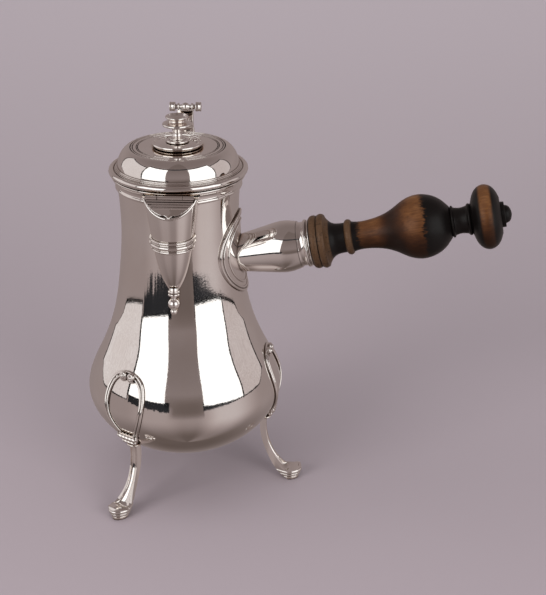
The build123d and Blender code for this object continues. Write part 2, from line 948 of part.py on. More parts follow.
with BuildPart() as spout_band:
    with BuildSketch(beak_side):
        with BuildLine():
            band_skin = [
                (beak_radius(band_low) + band_thickness, band_low),
                (beak_radius(band_high) + band_thickness, band_high),
            ]
            Polyline(*band_skin, (0, band_high), (0, band_low), close=True)
        make_face()
        with Locations((band_core, band_height)):
            Circle(band_bead_radius)
        for side in (-1, 1):
            bead_height = band_height + side * side_bead
            with Locations((beak_radius(bead_height) + band_thickness, bead_height)):
                Circle(band_side_bead_radius)
    revolve(axis=beak_centre_line)
    add(beak_solid(0, beak_tip_height), mode=Mode.SUBTRACT)
    add(pear, mode=Mode.SUBTRACT)
hand_in(spout_band.part, "spout_band")

# the drop under the spout's tip: two rings, a ball and a small end ball, leaning outward
drop_down = (0, -sin(radians(drop_lean)), -cos(radians(drop_lean)))
drop_root = (0, -drop_reach, beak_tip_height)
drop_side = Plane(origin=drop_root, x_dir=(1, 0, 0), z_dir=(0, -drop_down[2], drop_down[1]))
ring_pair = 2 * drop_ring_thickness

with BuildPart() as spout_drop:
    with BuildSketch(drop_side):
        with Locations((0, ring_pair / 4), (0, 3 * ring_pair / 4)):
            Rectangle(2 * drop_ring_radius, drop_ring_thickness - 0.3)
        with Locations((0, drop_tip_at / 2)):
            Rectangle(2 * drop_neck_radius, drop_tip_at)
        with Locations((0, drop_ball_at)):
            Circle(drop_ball_radius)
        with Locations((0, drop_tip_at)):
            Circle(drop_tip_radius)
        with Locations((-drop_ring_radius, drop_ball_at)):
            Rectangle(2 * drop_ring_radius, 4 * drop_tip_at, mode=Mode.SUBTRACT)
    revolve(axis=Axis(drop_root, drop_down))
    add(pear, mode=Mode.SUBTRACT)
    add(beak_solid(0, beak_tip_height), mode=Mode.SUBTRACT)
hand_in(spout_drop.part, "spout_drop")

# ---------------------------------------------------------------- handle
turn_cos = cos(radians(handle_turn))
turn_sin = sin(radians(handle_turn))
rise_cos = cos(radians(handle_rise))
rise_sin = sin(radians(handle_rise))
handle_root = (0, 0, handle_root_height)
handle_along = (rise_cos * turn_cos, rise_cos * turn_sin, rise_sin)
handle_axis = Axis(handle_root, handle_along)
# X runs out along the handle, Y upward across it
handle_side = Plane(origin=handle_root, x_dir=handle_along, z_dir=(turn_sin, -turn_cos, 0))


def handle_turning(outline):
    """A solid turned about the handle's axis from closed (distance, radius) points."""
    with BuildPart() as turning:
        with BuildSketch(handle_side):
            with BuildLine():
                Polyline(*outline, close=True)
            make_face()
        revolve(axis=handle_axis)
    return turning.part


swell_outline = (
    (waist_radius / 2, socket_root_radius - 2.6),
    (waist_radius, socket_root_radius - 0.3),
    (socket_swell_at - 10, socket_swell_radius - 1.0),
    (socket_swell_at, socket_swell_radius),
    (socket_end, socket_end_radius),
)
socket_start = waist_radius / 2
tenon_start = ring_end + grip_gap - tenon_length
tenon_bore = tenon_radius + tenon_clearance

with BuildPart() as socket_form:
    with BuildSketch(handle_side):
        with BuildLine():
            swell = Spline(*swell_outline)
            Polyline(swell @ 1, (socket_end, 0), (socket_start, 0), swell @ 0)
        make_face()
    revolve(axis=handle_axis)

with BuildPart() as socket_hollow:
    with BuildSketch(handle_side):
        with BuildLine():
            swell = Spline(*[(along, radius - socket_wall) for along, radius in swell_outline])
            Polyline(swell @ 1, (socket_end, 0), (socket_start, 0), swell @ 0)
        make_face()
    revolve(axis=handle_axis)

pin_plane = Plane(
    origin=handle_axis.position + handle_axis.direction * pin_at,
    x_dir=handle_along,
    z_dir=Vector(turn_sin, -turn_cos, 0).rotate(Axis((0, 0, 0), handle_along), -pin_turn),
)
pin_half = socket_swell_radius

with BuildPart() as pin_hole:
    with BuildSketch(pin_plane):
        Circle(handle_pin_radius)
    extrude(amount=2 * pin_half, both=True)

with BuildPart() as handle_socket:
    add(socket_form.part)
    add(socket_hollow.part, mode=Mode.SUBTRACT)
    add(pear, mode=Mode.SUBTRACT)
    add(pin_hole.part, mode=Mode.SUBTRACT)
hand_in(handle_socket.part, "handle_socket")

with BuildPart() as handle_pin:
    add(pin_hole.part)
    add(socket_form.part, mode=Mode.INTERSECT)
hand_in(handle_pin.part, "handle_pin")

# the round plate lies on the neck, with a double bead round its edge and one round the socket
plate_plane = Plane(
    origin=(0, 0, plate_centre_height), x_dir=(-turn_sin, turn_cos, 0), z_dir=(turn_cos, turn_sin, 0)
)
plate_margin = 1.0
plate_bead_radii = (
    plate_radius,
    plate_radius - plate_bead_pitch,
    plate_ring_radius,
)


plate_low = plate_centre_height - plate_radius - plate_margin
plate_high = plate_centre_height + plate_radius + plate_margin
plate_full = plate_thickness + plate_bead_height


def plate_ring(outer, inner):
    """A ring, or a disc when inner is 0, reaching out through the neck on the plate's axis."""
    with BuildPart() as ring:
        with BuildSketch(plate_plane.offset(waist_radius / 2)):
            Circle(outer)
            if inner > 0:
                Circle(inner, mode=Mode.SUBTRACT)
        extrude(amount=waist_radius)
    return ring.part


with BuildPart() as plate_sunk:
    add(plate_ring(plate_bead_radii[0] - plate_bead_width, plate_bead_radii[1]))
    add(plate_ring(plate_bead_radii[1] - plate_bead_width, plate_bead_radii[2]))
    add(plate_ring(plate_bead_radii[2] - plate_bead_width, 0))
    add(
        pear_patch(
            plate_thickness, plate_full + plate_margin, plate_low, plate_high, handle_turn
        ),
        mode=Mode.INTERSECT,
    )

with BuildPart() as handle_plate:
    add(plate_ring(plate_radius, 0))
    add(pear_patch(0, plate_full, plate_low, plate_high, handle_turn), mode=Mode.INTERSECT)
    # the fields between the beads lie lower than the beads
    add(plate_sunk.part, mode=Mode.SUBTRACT)
    add(socket_form.part, mode=Mode.SUBTRACT)
hand_in(handle_plate.part, "handle_plate")

bead_start = ring_bead_at - ring_bead_width / 2
bead_stop = ring_bead_at + ring_bead_width / 2
with BuildPart() as socket_ring:
    add(
        handle_turning(
            [
                (socket_end, tenon_bore),
                (socket_end, ring_neck_radius),
                (bead_start, ring_neck_radius),
                (bead_start, ring_bead_radius),
                (bead_stop, ring_bead_radius),
                (bead_stop, ring_neck_radius),
                (ring_end, ring_bead_radius),
                (ring_end, tenon_bore),
            ]
        )
    )
hand_in(socket_ring.part, "socket_ring")

# the grip is one piece of turned wood, with its tenon in the socket
button_end = knob_end + button_length
# the button's end is a piece of a sphere that stands on the handle's axis
tip_height = grip_end - button_end
tip_sphere = (button_tip_radius**2 + tip_height**2) / (2 * tip_height)
tip_centre = grip_end - tip_sphere
tip_angle = asin(button_tip_radius / tip_sphere)
shoulder_start = ring_end + grip_gap
with BuildPart() as handle_grip:
    with BuildSketch(handle_side):
        with BuildLine():
            first = shoulder_start + shoulder_width
            second = first + shoulder_width
            ring_low = grip_ring_at - grip_ring_width / 2
            ring_high = grip_ring_at + grip_ring_width / 2
            Polyline(
                (tenon_start, 0),
                (tenon_start, tenon_radius),
                (shoulder_start, tenon_radius),
                (shoulder_start, shoulder_ring_radius - 0.8),
            )
            ThreePointArc(
                (shoulder_start, shoulder_ring_radius - 0.8),
                ((shoulder_start + first) / 2, shoulder_ring_radius),
                (first, shoulder_ring_radius - 0.8),
            )
            ThreePointArc(
                (first, shoulder_ring_radius - 0.8),
                ((first + second) / 2, shoulder_radius_outer),
                (second, shoulder_radius_outer - 0.8),
            )
            neck = Spline(
                (second, shoulder_radius_outer - 0.8),
                (second + 1.8, shoulder_radius_outer - 3.6),
                (grip_neck_at, grip_neck_radius),
                (ring_low, grip_neck_radius),
            )
            bead = ThreePointArc(
                neck @ 1, (grip_ring_at, grip_ring_radius), (ring_high, grip_neck_radius)
            )
            bulb = Spline(
                bead @ 1,
                (grip_stem_at, grip_stem_radius),
                ((grip_stem_at + bulb_at) / 2, (grip_stem_radius + bulb_radius) / 2 - 1.4),
                (bulb_at, bulb_radius),
                (reel_start - 5.4, (bulb_radius + reel_radius) / 2 + 1.6),
                (reel_start, reel_radius + 0.9),
            )
            small = ThreePointArc(
                bulb @ 1,
                (reel_start + reel_ring_width / 2, reel_ring_radius),
                (reel_start + reel_ring_width, reel_radius + 0.6),
            )
            reel = Spline(
                small @ 1,
                (reel_at, reel_radius),
                (reel_end - reel_ring_width, reel_radius + 0.8),
            )
            last = ThreePointArc(
                reel @ 1,
                (reel_end - reel_ring_width / 2, reel_ring_radius),
                (reel_end, reel_radius + 1.2),
            )
            knob = Spline(
                last @ 1,
                (reel_end + knob_round / 4, knob_radius - knob_round),
                (knob_at - knob_half, knob_radius - knob_round / 3),
                (knob_at, knob_radius),
                (knob_at + knob_half, knob_radius - knob_round / 3),
                (knob_end - knob_round / 5, knob_radius - knob_round),
                (knob_end, button_radius + knob_step),
            )
            Polyline(
                knob @ 1,
                (knob_end, button_radius),
                (button_end, button_radius),
                (button_end, button_tip_radius),
            )
            tip = ThreePointArc(
                (button_end, button_tip_radius),
                (tip_centre + tip_sphere * cos(tip_angle / 2), tip_sphere * sin(tip_angle / 2)),
                (grip_end, 0),
            )
            Line(tip @ 1, (tenon_start, 0))
        make_face()
    revolve(axis=handle_axis)
    add(pin_hole.part, mode=Mode.SUBTRACT)
hand_in(handle_grip.part, "handle_grip")

# ---------------------------------------------------------------- legs
# each leg is cast in one piece: toe, S-shaped shank, crossbar, oval frame and two volutes
# the frame lies on the belly, so its heights go with the belly's widest place
frame_top = belly_height + frame_rise
frame_bottom = belly_height - frame_fall
frame_wide_height = belly_height + frame_wide_rise
volute_height = frame_top - volute_drop
crossbar_height = frame_bottom + crossbar_rise
leg_top_height = frame_bottom + leg_top_rise

leg_back = (
    (pad_start, 0),
    ((pad_start + calf_reach) / 2 - 1.2, calf_height / 2 - 1.6),
    (calf_reach, calf_height),
    (knee_reach, knee_height),
    (knee_reach + 1.2, leg_top_height),
)
leg_back_line = Spline(*leg_back)
leg_steps = 8


def leg_front_points(depth):
    """The shank's outer line, the back line moved outward by its thickness less a depth."""
    points = []
    for step in range(1, leg_steps + 1):
        at = leg_back_line.position_at(step / leg_steps)
        along = leg_back_line.tangent_at(step / leg_steps)
        move = shank_thickness - depth
        points.append((at.X + move * along.Y, at.Y - move * along.X))
    return points


def leg_side(depth):
    """The leg seen from the side, cut back on its outer face by a depth."""
    with BuildPart() as side:
        with BuildSketch(Plane.XZ):
            with BuildLine():
                back = Spline(*leg_back)
                front = Spline(
                    (toe_reach - 1.4 - depth, toe_height - depth),
                    *leg_front_points(depth),
                )
                Line(back @ 1, front @ 1)
                ThreePointArc(
                    front @ 0,
                    (toe_reach - depth, toe_front_height),
                    (pad_end, 0),
                )
                Line((pad_end, 0), (pad_start, 0))
            make_face()
        extrude(amount=toe_half_width, both=True)
    return side.part


def leg_plan(inset):
    """The leg seen from above: a narrow shank that spreads to a round toe."""
    half = shank_half_width - inset
    toe_half = toe_half_width - inset
    with BuildPart() as plan:
        with BuildSketch(Plane.XY):
            with BuildLine():
                sides = []
                for side in (-1, 1):
                    sides.append(
                        Spline(
                            (toe_spread_start, side * half),
                            (toe_spread_end, side * toe_half),
                            (toe_reach - inset, 0),
                            tangents=((1, 0), (0, -side)),
                            tangent_scalars=(1, 1),
                        )
                    )
                Polyline(
                    sides[0] @ 0,
                    (waist_radius, -half),
                    (waist_radius, half),
                    sides[1] @ 0,
                )
            make_face()
        extrude(amount=frame_top)
    return plan.part


def oval(inset):
    """The oval frame's outline, drawn inward by an inset, reaching out from the axis."""
    widest = frame_half_width - inset
    bottom = frame_bottom + inset
    top = frame_top - inset
    with BuildPart() as column:
        with BuildSketch(Plane.YZ.offset(waist_radius / 2)):
            with BuildLine():
                halves = []
                for side in (-1, 1):
                    halves.append(
                        Spline(
                            (side * (frame_bottom_half_width - inset), bottom),
                            (side * 0.84 * widest, (bottom + frame_wide_height) / 2),
                            (side * widest, frame_wide_height),
                            (side * 0.66 * widest, top - frame_top_drop),
                            (0, top),
                            tangents=((side * 0.5, 1), (-side, 0)),
                            tangent_scalars=(1, 1),
                        )
                    )
                Line(halves[0] @ 0, halves[1] @ 0)
            make_face()
        extrude(amount=belly_radius)
    return column.part


with BuildPart() as leg_frame:
    add(oval(0))
    add(oval(frame_width), mode=Mode.SUBTRACT)
    add(
        pear_patch(0, frame_thickness, frame_bottom / 2, frame_top + frame_width, 0),
        mode=Mode.INTERSECT,
    )

with BuildPart() as leg_flute:
    add(leg_side(0))
    add(leg_side(flute_depth), mode=Mode.SUBTRACT)
    add(leg_plan(flute_edge), mode=Mode.INTERSECT)

# two grooves part the toe's edge into three reeds
with BuildPart() as groove_levels:
    with Locations(*[(toe_reach, 0, height) for height in toe_groove_heights]):
        Box(toe_reach, toe_reach, toe_groove_width)

with BuildPart() as toe_grooves:
    add(leg_plan(-toe_groove_depth))
    add(leg_plan(toe_groove_depth), mode=Mode.SUBTRACT)
    add(groove_levels.part, mode=Mode.INTERSECT)

with BuildPart() as leg_shank:
    add(leg_side(0))
    add(leg_plan(0), mode=Mode.INTERSECT)
    add(leg_flute.part, mode=Mode.SUBTRACT)
    add(toe_grooves.part, mode=Mode.SUBTRACT)
    add(pear, mode=Mode.SUBTRACT)

volute_reach = pear_radius(frame_thickness, volute_height)

with BuildPart() as leg_ornament:
    with Locations(
        (volute_reach, -volute_radius, volute_height),
        (volute_reach, volute_radius, volute_height),
    ):
        Sphere(volute_radius)
    with BuildSketch(Plane.XZ.offset(-crossbar_length / 2)):
        with Locations((crossbar_reach, crossbar_height)):
            Circle(crossbar_radius)
    extrude(amount=crossbar_length)
    add(pear, mode=Mode.SUBTRACT)

with BuildPart() as leg:
    add(leg_frame.part)
    add(leg_shank.part)
    add(leg_ornament.part)

for number, name in enumerate(("leg_under_handle", "leg_beside_spout", "leg_at_back")):
    azimuth = handle_turn + (0, -leg_spacing, leg_spacing)[number]
    hand_in(leg.part.rotate(Axis.Z, azimuth), name)
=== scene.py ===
from math import cos, hypot, pi, radians, sin, sqrt

import bmesh
import bpy
import numpy
from mathutils import Matrix, Vector
from mathutils.geometry import interpolate_bezier


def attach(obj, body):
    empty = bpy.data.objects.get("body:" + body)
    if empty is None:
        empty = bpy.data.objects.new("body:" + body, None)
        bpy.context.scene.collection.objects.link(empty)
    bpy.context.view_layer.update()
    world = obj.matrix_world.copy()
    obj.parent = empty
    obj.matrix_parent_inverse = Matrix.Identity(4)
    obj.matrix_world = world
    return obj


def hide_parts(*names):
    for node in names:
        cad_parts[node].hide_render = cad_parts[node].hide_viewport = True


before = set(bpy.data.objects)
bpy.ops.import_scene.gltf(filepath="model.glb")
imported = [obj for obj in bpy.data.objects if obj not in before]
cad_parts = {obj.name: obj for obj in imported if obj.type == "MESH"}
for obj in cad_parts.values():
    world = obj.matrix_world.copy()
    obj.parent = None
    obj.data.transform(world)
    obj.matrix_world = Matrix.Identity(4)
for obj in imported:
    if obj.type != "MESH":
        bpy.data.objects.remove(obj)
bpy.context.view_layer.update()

scene = bpy.context.scene

# ---------------------------------------------------------------- where it stands
# The pot stands upright with its axis away from the frame's origin, because the origin is
# under the middle of the pot and its handle together. Pieces are drawn in millimetres from
# the pot's own axis at the table and are then moved into the frame.
POT_AXIS = Vector((-66.91, -1.48, 0.0))
MM = 0.001


def settle(bm, name, finish, body, *nodes, sharp=38):
    """Moves a drawing in millimetres into the frame and makes it a piece of the pot."""
    for edge in bm.edges:
        edge.smooth = edge.calc_face_angle(0) < radians(sharp)
    for face in bm.faces:
        face.smooth = True
    bmesh.ops.translate(bm, verts=bm.verts, vec=POT_AXIS)
    bmesh.ops.scale(bm, verts=bm.verts, vec=(MM, MM, MM))
    mesh = bpy.data.meshes.new(name)
    bm.to_mesh(mesh)
    bm.free()
    mesh.materials.append(finish)
    piece = bpy.data.objects.new(name, mesh)
    scene.collection.objects.link(piece)
    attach(piece, body)
    if nodes:
        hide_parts(*nodes)
    return piece


# ---------------------------------------------------------------- camera
# The pot is seen from the spout's side, a little from the right, and from above the rim, so
# that the lid's flat top and the stirrer cover show as ovals and the handle points away right.
camera_data = bpy.data.cameras.new("camera")
camera_data.lens = 84.95
camera_data.sensor_width = 36.0
camera_data.sensor_fit = "AUTO"
camera = bpy.data.objects.new("camera", camera_data)
scene.collection.objects.link(camera)
look_down = radians(23.65)
heading = radians(-3.48)
roll = radians(-0.23)
camera.location = (Vector((101.7, -772.7, 461.2)) + POT_AXIS) * MM
camera.rotation_euler = (
    Matrix.Rotation(-heading, 3, "Z")
    @ Matrix.Rotation(pi / 2 - look_down, 3, "X")
    @ Matrix.Rotation(roll, 3, "Z")
).to_euler()
scene.camera = camera

# ---------------------------------------------------------------- shader maths
# Metal, wood, paper and studio are all procedural. Their sums are written as plain Python,
# and each operation leaves one Math node in the tree that is being filled.

class Value:
    """A socket that takes part in Python sums and leaves Math nodes behind."""

    def __init__(self, paint, socket):
        self.paint = paint
        self.socket = socket

    def sum_with(self, operation, first, second):
        node = self.paint.add("ShaderNodeMath", {"operation": operation}, {0: first, 1: second})
        return Value(self.paint, node.outputs[0])

    def __add__(self, other):
        return self.sum_with("ADD", self, other)

    def __radd__(self, other):
        return self.sum_with("ADD", other, self)

    def __sub__(self, other):
        return self.sum_with("SUBTRACT", self, other)

    def __rsub__(self, other):
        return self.sum_with("SUBTRACT", other, self)

    def __mul__(self, other):
        return self.sum_with("MULTIPLY", self, other)

    def __rmul__(self, other):
        return self.sum_with("MULTIPLY", other, self)

    def __gt__(self, other):
        return self.sum_with("GREATER_THAN", self, other)

    def __lt__(self, other):
        return self.sum_with("LESS_THAN", self, other)


class Paint:
    """A node tree that is filled one node at a time."""

    def __init__(self, tree):
        self.tree = tree
        tree.nodes.clear()

    def add(self, kind, settings=(), inputs=()):
        node = self.tree.nodes.new(kind)
        for key, value in dict(settings).items():
            if key == "stops":
                ramp = node.color_ramp
                while len(ramp.elements) < len(value):
                    ramp.elements.new(0.5)
                for element, (place, colour) in zip(ramp.elements, value):
                    element.position = place
                    element.color = (*colour, 1)
            else:
                setattr(node, key, value)
        for key, value in dict(inputs).items():
            if isinstance(value, Value):
                value = value.socket
            if isinstance(value, bpy.types.NodeSocket):
                self.tree.links.new(value, node.inputs[key])
            else:
                node.inputs[key].default_value = value
        return node

    def value(self, kind, settings=(), inputs=(), output=0):
        return Value(self, self.add(kind, settings, inputs).outputs[output])


# ---------------------------------------------------------------- studio
# A pale grey-mauve paper carries the pot and reaches out of sight behind it. Two tall soft
# boxes stand left and right of the camera with a panel of crinkled foil beyond each, and
# polished silver shows them all, so the world paints them for glossy rays alone.
PAPER = (0.324, 0.272, 0.294)
# painted light: the paper's paler colour at its far end
FAR_PAPER_PAINTED_LIGHT = (0.70, 0.605, 0.645)


def slope_between(value, low, high, at_low=0.0, at_high=1.0, soft="SMOOTHSTEP"):
    """A level that goes smoothly from one value to another between two limits."""
    return paint.value(
        "ShaderNodeMapRange",
        {"interpolation_type": soft},
        {"Value": value, "From Min": low, "From Max": high, "To Min": at_low, "To Max": at_high},
    )


floor_mesh = bmesh.new()
bmesh.ops.create_circle(floor_mesh, cap_ends=True, radius=6000, segments=128)
for floor_face in floor_mesh.faces:
    floor_face.normal_update()
floor_data = bpy.data.meshes.new("floor")
bmesh.ops.scale(floor_mesh, verts=floor_mesh.verts, vec=(MM, MM, MM))
floor_mesh.to_mesh(floor_data)
floor_mesh.free()
floor = bpy.data.objects.new("floor", floor_data)
floor.visible_glossy = False
scene.collection.objects.link(floor)

paper = bpy.data.materials.new("backdrop paper")
paper.use_nodes = True
paint = Paint(paper.node_tree)
ground = paint.add(
    "ShaderNodeSeparateXYZ", inputs={0: paint.add("ShaderNodeTexCoord").outputs["Object"]}
)
# painted light: the paper is made paler towards its far end, where the lamps light it less
far_end_painted_light = slope_between(Value(paint, ground.outputs[1]), -0.1, 1.9)
shade = paint.add(
    "ShaderNodeMix",
    {"data_type": "RGBA"},
    {"Factor": far_end_painted_light, "A": (*PAPER, 1), "B": (*FAR_PAPER_PAINTED_LIGHT, 1)},
)
shader = paint.add(
    "ShaderNodeBsdfPrincipled",
    inputs={"Base Color": shade.outputs["Result"], "Roughness": 0.85, "Specular IOR Level": 0.2},
)
paint.add("ShaderNodeOutputMaterial", inputs={"Surface": shader.outputs[0]})
floor_data.materials.append(paper)

world = bpy.data.worlds.new("studio")
scene.world = world
world.use_nodes = True
paint = Paint(world.node_tree)
direction = paint.add("ShaderNodeTexCoord").outputs["Generated"]
parts = paint.add("ShaderNodeSeparateXYZ", inputs={0: direction})
east, north, upward = (Value(paint, parts.outputs[number]) for number in range(3))
# degrees round from the spout's side towards the handle, and degrees above the horizon
around = paint.value("ShaderNodeMath", {"operation": "ARCTAN2"}, {0: east, 1: 0 - north}) * 57.2958
above = paint.value("ShaderNodeMath", {"operation": "ARCSINE"}, {0: upward}) * 57.2958


def window(left, right, low, high):
    """1 inside a patch of the studio between two bearings and two heights, else 0."""
    return (around > left) * (around < right) * (above > low) * (above < high)


ragged = paint.value(
    "ShaderNodeTexNoise", inputs={"Vector": direction, "Scale": 14.0, "Detail": 3.0}
)
ragged = (ragged - 0.5) * 9
foil_crinkle = paint.value(
    "ShaderNodeTexNoise", inputs={"Vector": direction, "Scale": 60.0, "Detail": 4.0}
)
sideways = paint.value("ShaderNodeMath", {"operation": "ABSOLUTE"}, {0: around})
left_side = around < 2
# the boxes' lower edges slant a little
boxes_low = ragged * 0.1 + left_side * (0.022 * around - 5.0)
boxes_low = boxes_low - (1 - left_side) * (0.0587 * around + 6.4)
# each foil panel hangs a little lower than its box and has a rounded outer corner
foil_low = (
    slope_between(sideways, 106, 124, 0.0, 8.0)
    - (0.9 + 2.5 * left_side) * slope_between(sideways, 68, 111, 0.0, 1.0, "LINEAR")
    - 10.7
)
soft_boxes = window(-64, -17.5, boxes_low, 45) + window(28, 78.5, boxes_low, 45)
foil_panels = window(-125, -66.5, foil_low, 37) + window(80.5, 120, foil_low, 37)
frames = (
    window(-65.5, -16.3, boxes_low - 0.8, 48)
    + window(26.8, 79.5, boxes_low - 0.8, 48)
    + window(-127, -65.5, foil_low - 0.8, 39)
    + window(79.5, 122, foil_low - 0.8, 39)
)
unlit_floor = window(-64, -12, ragged * 0.5 - 12.0, -4) + window(27, 79, ragged * 0.12 - 11.4, -4)
behind_camera = window(-17.5, 28, -30, 90)

# the paper lies bright between the boxes and the pot, and falls off to the sides and behind
paper_level = (
    0.30
    + slope_between(around, 18, 48, 0.0, 0.22) * slope_between(around, 62, 110, 1.0, 0.0)
    + slope_between(around, -70, -40, 0.0, 0.07) * slope_between(around, -20, 5, 1.0, 0.0)
    - 0.02 * slope_between(sideways, 105, 150, 0.0, 1.0)
)
paper_level = paper_level * slope_between(above, -75, -22, 0.42, 1.0)
wall_level = slope_between(above, 0, 70, 0.30, 0.20)
room = slope_between(above, -8, 4, 0.0, 1.0) * (wall_level - paper_level) + paper_level
shaded = slope_between(above, -10, -7)
shaded = behind_camera * slope_between(around, -16, -6, shaded, 1.0)
depth = slope_between(above, -9, 8, 0.52, 0.22)
room = room * (1 - depth * shaded * slope_between(above, -20, -11, 0.0, 1.0))
room = room * (1 - 0.8 * window(-17.5, 28, 45, 50))
unlit_floor = 0.93 * unlit_floor * (1 - foil_panels) * (1 - soft_boxes)
light_level = (
    room * (1 - frames * (1 - behind_camera)) * (1 - unlit_floor)
    + soft_boxes * 1.3
    + foil_panels * (0.28 + 0.5 * foil_crinkle + 0.14 * left_side)
)
# the dimmer the paper, the warmer it looks, but the gaps between the boxes are black
tint = paint.add(
    "ShaderNodeValToRGB",
    {
        "stops": [
            (0.03, (0.90, 0.90, 1.0)),
            (0.11, (1.0, 0.76, 0.68)),
            (0.22, (1.0, 0.80, 0.77)),
            (0.42, (1.0, 0.84, 0.82)),
            (0.90, (1.0, 0.985, 0.975)),
        ]
    },
    {"Fac": light_level},
)
reflected = paint.add(
    "ShaderNodeMix",
    {"data_type": "RGBA", "blend_type": "MULTIPLY"},
    {"Factor": 1.0, "A": tint.outputs[0], "B": light_level},
)
rays = paint.add("ShaderNodeLightPath")
plain = paint.add("ShaderNodeBackground", inputs={"Color": (0.80, 0.80, 0.82, 1), "Strength": 0.62})
seen = paint.add("ShaderNodeBackground", inputs={"Color": (*PAPER, 1), "Strength": 1.0})
glossy = paint.add(
    "ShaderNodeBackground", inputs={"Color": reflected.outputs["Result"], "Strength": 1.0}
)
first = paint.add(
    "ShaderNodeMixShader",
    inputs={0: rays.outputs["Is Glossy Ray"], 1: plain.outputs[0], 2: glossy.outputs[0]},
)
second = paint.add(
    "ShaderNodeMixShader",
    inputs={0: rays.outputs["Is Camera Ray"], 1: first.outputs[0], 2: seen.outputs[0]},
)
paint.add("ShaderNodeOutputWorld", inputs={"Surface": second.outputs[0]})


def lamp(name, place, aim, width, height, power):
    """A soft box that lights the pot; the silver shows the world's windows instead of it."""
    data = bpy.data.lights.new(name, "AREA")
    data.shape = "RECTANGLE"
    data.size = width
    data.size_y = height
    data.energy = power
    light = bpy.data.objects.new(name, data)
    light.location = place
    light.rotation_euler = (Vector(aim) - Vector(place)).to_track_quat("-Z", "Y").to_euler()
    light.visible_glossy = False
    scene.collection.objects.link(light)


lamp("left_box", (-1.0, -1.1, 0.66), (0, 0, 0.06), 0.8, 0.9, 17)
lamp("right_box", (0.9, -1.2, 0.62), (0, 0, 0.06), 0.8, 0.9, 15)
lamp("top_box", (-0.2, -0.2, 1.6), (0, 0, 0.1), 1.4, 1.4, 9)

scene.view_settings.view_transform = "Standard"

# ---------------------------------------------------------------- silver
# Solid silver, raised, planished and polished by hand: a mirror with a little haze, fine
# scratches from cleaning, a faint warm tone where polish has stayed, and painted shade in creases and
# hollows.
def polished(name, hammered=None):
    """Silver's finish; hammered gives the swell, in metres, that hammering has left."""
    metal = bpy.data.materials.new(name)
    metal.use_nodes = True
    metal_paint = Paint(metal.node_tree)
    place = metal_paint.add("ShaderNodeTexCoord").outputs["Object"]
    haze, scratch, planished = (
        metal_paint.value(
            "ShaderNodeTexNoise", inputs={"Vector": place, "Scale": scale, "Detail": detail}
        )
        for scale, detail in ((38.0, 5.0), (900.0, 3.0), (70.0, 1.0))
    )
    # polish and tarnish stay in the creases, and a golden tarnish in the sheltered hollows; both are
    # read from ambient occlusion, so they are also painted shade
    crease_tarnish_and_shade, hollow_tarnish_and_shade = (
        metal_paint.value(
            "ShaderNodeMapRange",
            {"interpolation_type": "SMOOTHSTEP"},
            {
                "Value": metal_paint.value(
                    "ShaderNodeAmbientOcclusion", {"samples": 6}, {"Distance": distance}, 1
                )
                + 0.2 * (haze - 0.5),
                "From Min": closed,
                "From Max": open_to_air,
            },
        )
        for distance, closed, open_to_air in ((0.0016, 0.36, 0.8), (0.006, 0.2, 0.7))
    )
    warmth = metal_paint.add(
        "ShaderNodeValToRGB",
        {"stops": [(0.35, (0.915, 0.875, 0.84)), (0.65, (0.96, 0.935, 0.91))]},
        {"Fac": haze},
    )
    golden = metal_paint.add(
        "ShaderNodeMix",
        {"data_type": "RGBA"},
        {"Factor": hollow_tarnish_and_shade, "A": (0.46, 0.31, 0.19, 1), "B": warmth.outputs[0]},
    )
    # painted shade with tarnish: hollows browned and creases darkened nearly to black
    colour = metal_paint.add(
        "ShaderNodeMix",
        {"data_type": "RGBA"},
        {"Factor": crease_tarnish_and_shade, "A": (0.095, 0.053, 0.031, 1), "B": golden.outputs["Result"]},
    )
    dented = {"Strength": 0.03, "Distance": 0.0004, "Height": scratch * 0.5 + planished}
    if hammered:
        swell = {"Strength": 1.0, "Distance": 1.0, "Height": hammered(metal_paint)}
        dented["Normal"] = metal_paint.add("ShaderNodeBump", inputs=swell).outputs[0]
    dents = metal_paint.add("ShaderNodeBump", inputs=dented)
    finish = metal_paint.add(
        "ShaderNodeBsdfPrincipled",
        inputs={
            "Base Color": colour.outputs["Result"],
            "Metallic": 1.0,
            "Roughness": 0.02 + 0.045 * haze + 0.2 * (1 - crease_tarnish_and_shade) + 0.06 * (1 - hollow_tarnish_and_shade),
            "Normal": dents.outputs[0],
        },
    )
    metal_paint.add("ShaderNodeOutputMaterial", inputs={"Surface": finish.outputs[0]})
    return metal


def full_belly(metal_paint):
    """The hammer left the belly a little fuller above its widest than a true pear."""
    place = metal_paint.add("ShaderNodeTexCoord").outputs["Object"]
    level = metal_paint.add("ShaderNodeSeparateXYZ", inputs={0: place})
    height = Value(metal_paint, level.outputs[2])
    rise, fall = (
        metal_paint.value(
            "ShaderNodeMapRange",
            {"interpolation_type": "SMOOTHERSTEP"},
            {"Value": height, "From Min": low, "From Max": high, "To Min": first, "To Max": last},
        )
        for low, high, first, last in ((0.066, 0.092, 0.0, 0.0027), (0.088, 0.122, 0.0, -0.0027))
    )
    return rise + fall


silver = polished("polished silver")
raised_silver = polished("raised silver", full_belly)

for name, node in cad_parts.items():
    node.data.materials.clear()
    node.data.materials.append(silver)

